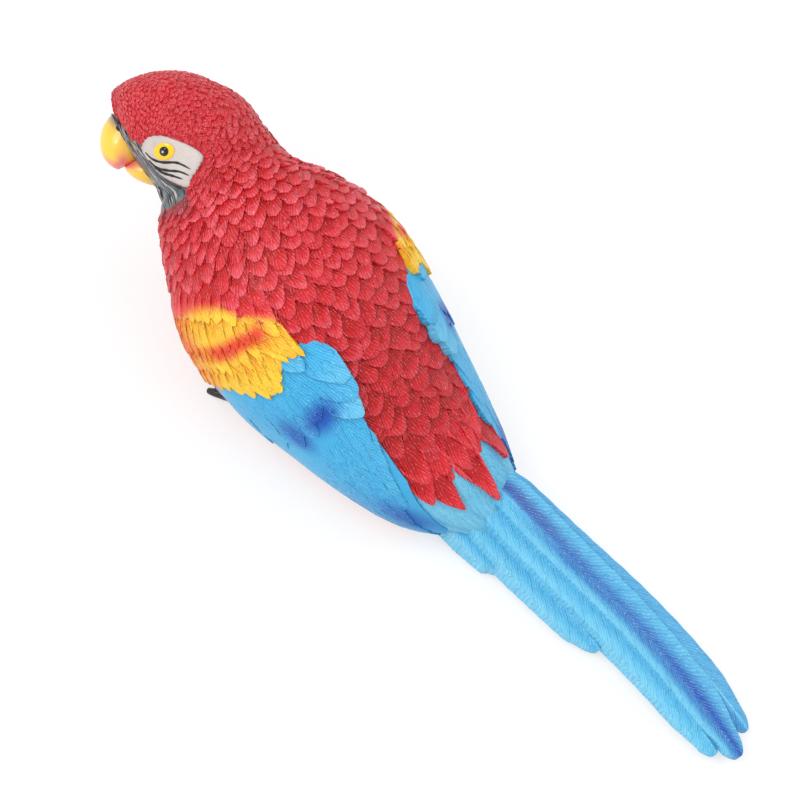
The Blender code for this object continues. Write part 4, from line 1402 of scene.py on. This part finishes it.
class FIGURINE_OT_stage(bpy.types.Operator):
    """Pale floor, soft light and a camera at the photograph's angle"""

    bl_idname = "figurine.stage"
    bl_label = "Stage"

    def execute(self, context):
        settings = context.scene.figurine_stage
        self.floor()
        self.world(settings.world)
        self.camera(context.scene)
        for lamp in LAMPS:
            self.light(lamp, getattr(settings, lamp.name))
        context.scene.view_settings.view_transform = "Standard"
        return {"FINISHED"}

    def floor(self):
        shape = bmesh.new()
        bmesh.ops.create_grid(shape, x_segments=1, y_segments=1, size=3.0)
        mesh = bpy.data.meshes.new("floor")
        shape.to_mesh(mesh)
        shape.free()
        made = bpy.data.objects.new("floor", mesh)
        bpy.context.scene.collection.objects.link(made)
        mesh.materials.append(self.floor_paint())

    def floor_paint(self):
        """Pale paint that keeps the shadow and glows a little where it is seen."""
        finish = Finish("pale_floor")
        grain = finish.noise(60.0)
        pale = finish.mix(grain, (0.86, 0.86, 0.86, 1), (0.88, 0.88, 0.88, 1))
        finish.apply(Base_Color=pale, Roughness=0.9)
        glow = finish.node("ShaderNodeEmission", {}, {"Color": WHITE, "Strength": FLOOR_GLOW})
        plain = Socket(finish, finish.shader.outputs[0])
        both = finish.node("ShaderNodeMixShader", {}, {0: finish.seen() * FLOOR_SHARE, 1: plain, 2: glow})
        finish.feed(finish.tree.nodes["Material Output"].inputs["Surface"], both)
        return finish.material

    def world(self, strength):
        made = bpy.data.worlds.new("studio")
        made.use_nodes = True
        bpy.context.scene.world = made
        sky = Nodes(made.node_tree)
        level = sky.node("ShaderNodeMapRange", {}, {"Value": sky.seen(), "To Min": strength, "To Max": 1.0})
        background = sky.tree.nodes["Background"]
        sky.feed(background.inputs["Color"], WHITE)
        sky.feed(background.inputs["Strength"], level)

    def camera(self, scene):
        right = -math.cos(TILT) * SPINE + math.sin(TILT) * FLANK
        upward = math.sin(TILT) * SPINE + math.cos(TILT) * FLANK
        eye = TARGET + CHEEK * (FRAME_WIDTH / SENSOR * LENS)
        lens = bpy.data.cameras.new("camera")
        lens.lens, lens.sensor_width = LENS, SENSOR
        made = bpy.data.objects.new("camera", lens)
        axes = Matrix((right, upward, CHEEK)).transposed().to_4x4()
        made.matrix_world = Matrix.Translation(Vector(eye) * METRES) @ axes
        scene.collection.objects.link(made)
        scene.camera = made

    def light(self, lamp, power):
        name = f"{lamp.name}_light"
        light = bpy.data.lights.new(name, "AREA")
        light.shape, light.size, light.energy = "DISK", lamp.size, power
        made = bpy.data.objects.new(name, light)
        made.location = lamp.place
        made.rotation_euler = Vector(lamp.place).to_track_quat("Z", "Y").to_euler()
        bpy.context.scene.collection.objects.link(made)


OPERATORS = (
    FIGURINE_OT_casting, FIGURINE_OT_scales, FIGURINE_OT_wings, FIGURINE_OT_rump, FIGURINE_OT_tail,
    FIGURINE_OT_bill, FIGURINE_OT_face, FIGURINE_OT_eyes, FIGURINE_OT_feet, FIGURINE_OT_stage,
)


class FIGURINE_PT_panel(bpy.types.Panel):
    """Lists the figurine's settings and the pieces that can be built"""

    bl_idname = "FIGURINE_PT_panel"
    bl_label = "Macaw figurine"
    bl_space_type = "VIEW_3D"
    bl_region_type = "UI"
    bl_category = "Figurine"

    def draw(self, context):
        for name in GROUPS:
            group = getattr(context.scene, name)
            box = self.layout.box()
            for setting in group.__annotations__:
                box.prop(group, setting)
        for operator in OPERATORS:
            self.layout.operator(operator.bl_idname)


GROUPS = {
    "figurine_plumage": FIGURINE_PG_plumage,
    "figurine_face": FIGURINE_PG_face,
    "figurine_stage": FIGURINE_PG_stage,
}
CLASSES = (*GROUPS.values(), *OPERATORS, FIGURINE_PT_panel)


def register():
    for cls in CLASSES:
        bpy.utils.register_class(cls)
    for name, group in GROUPS.items():
        setattr(bpy.types.Scene, name, PointerProperty(type=group))


def unregister():
    for name in GROUPS:
        delattr(bpy.types.Scene, name)
    for cls in reversed(CLASSES):
        bpy.utils.unregister_class(cls)


def main():
    register()
    for operator in OPERATORS:
        group, name = operator.bl_idname.split(".")
        getattr(getattr(bpy.ops, group), name)()


if __name__ == "__main__":
    main()
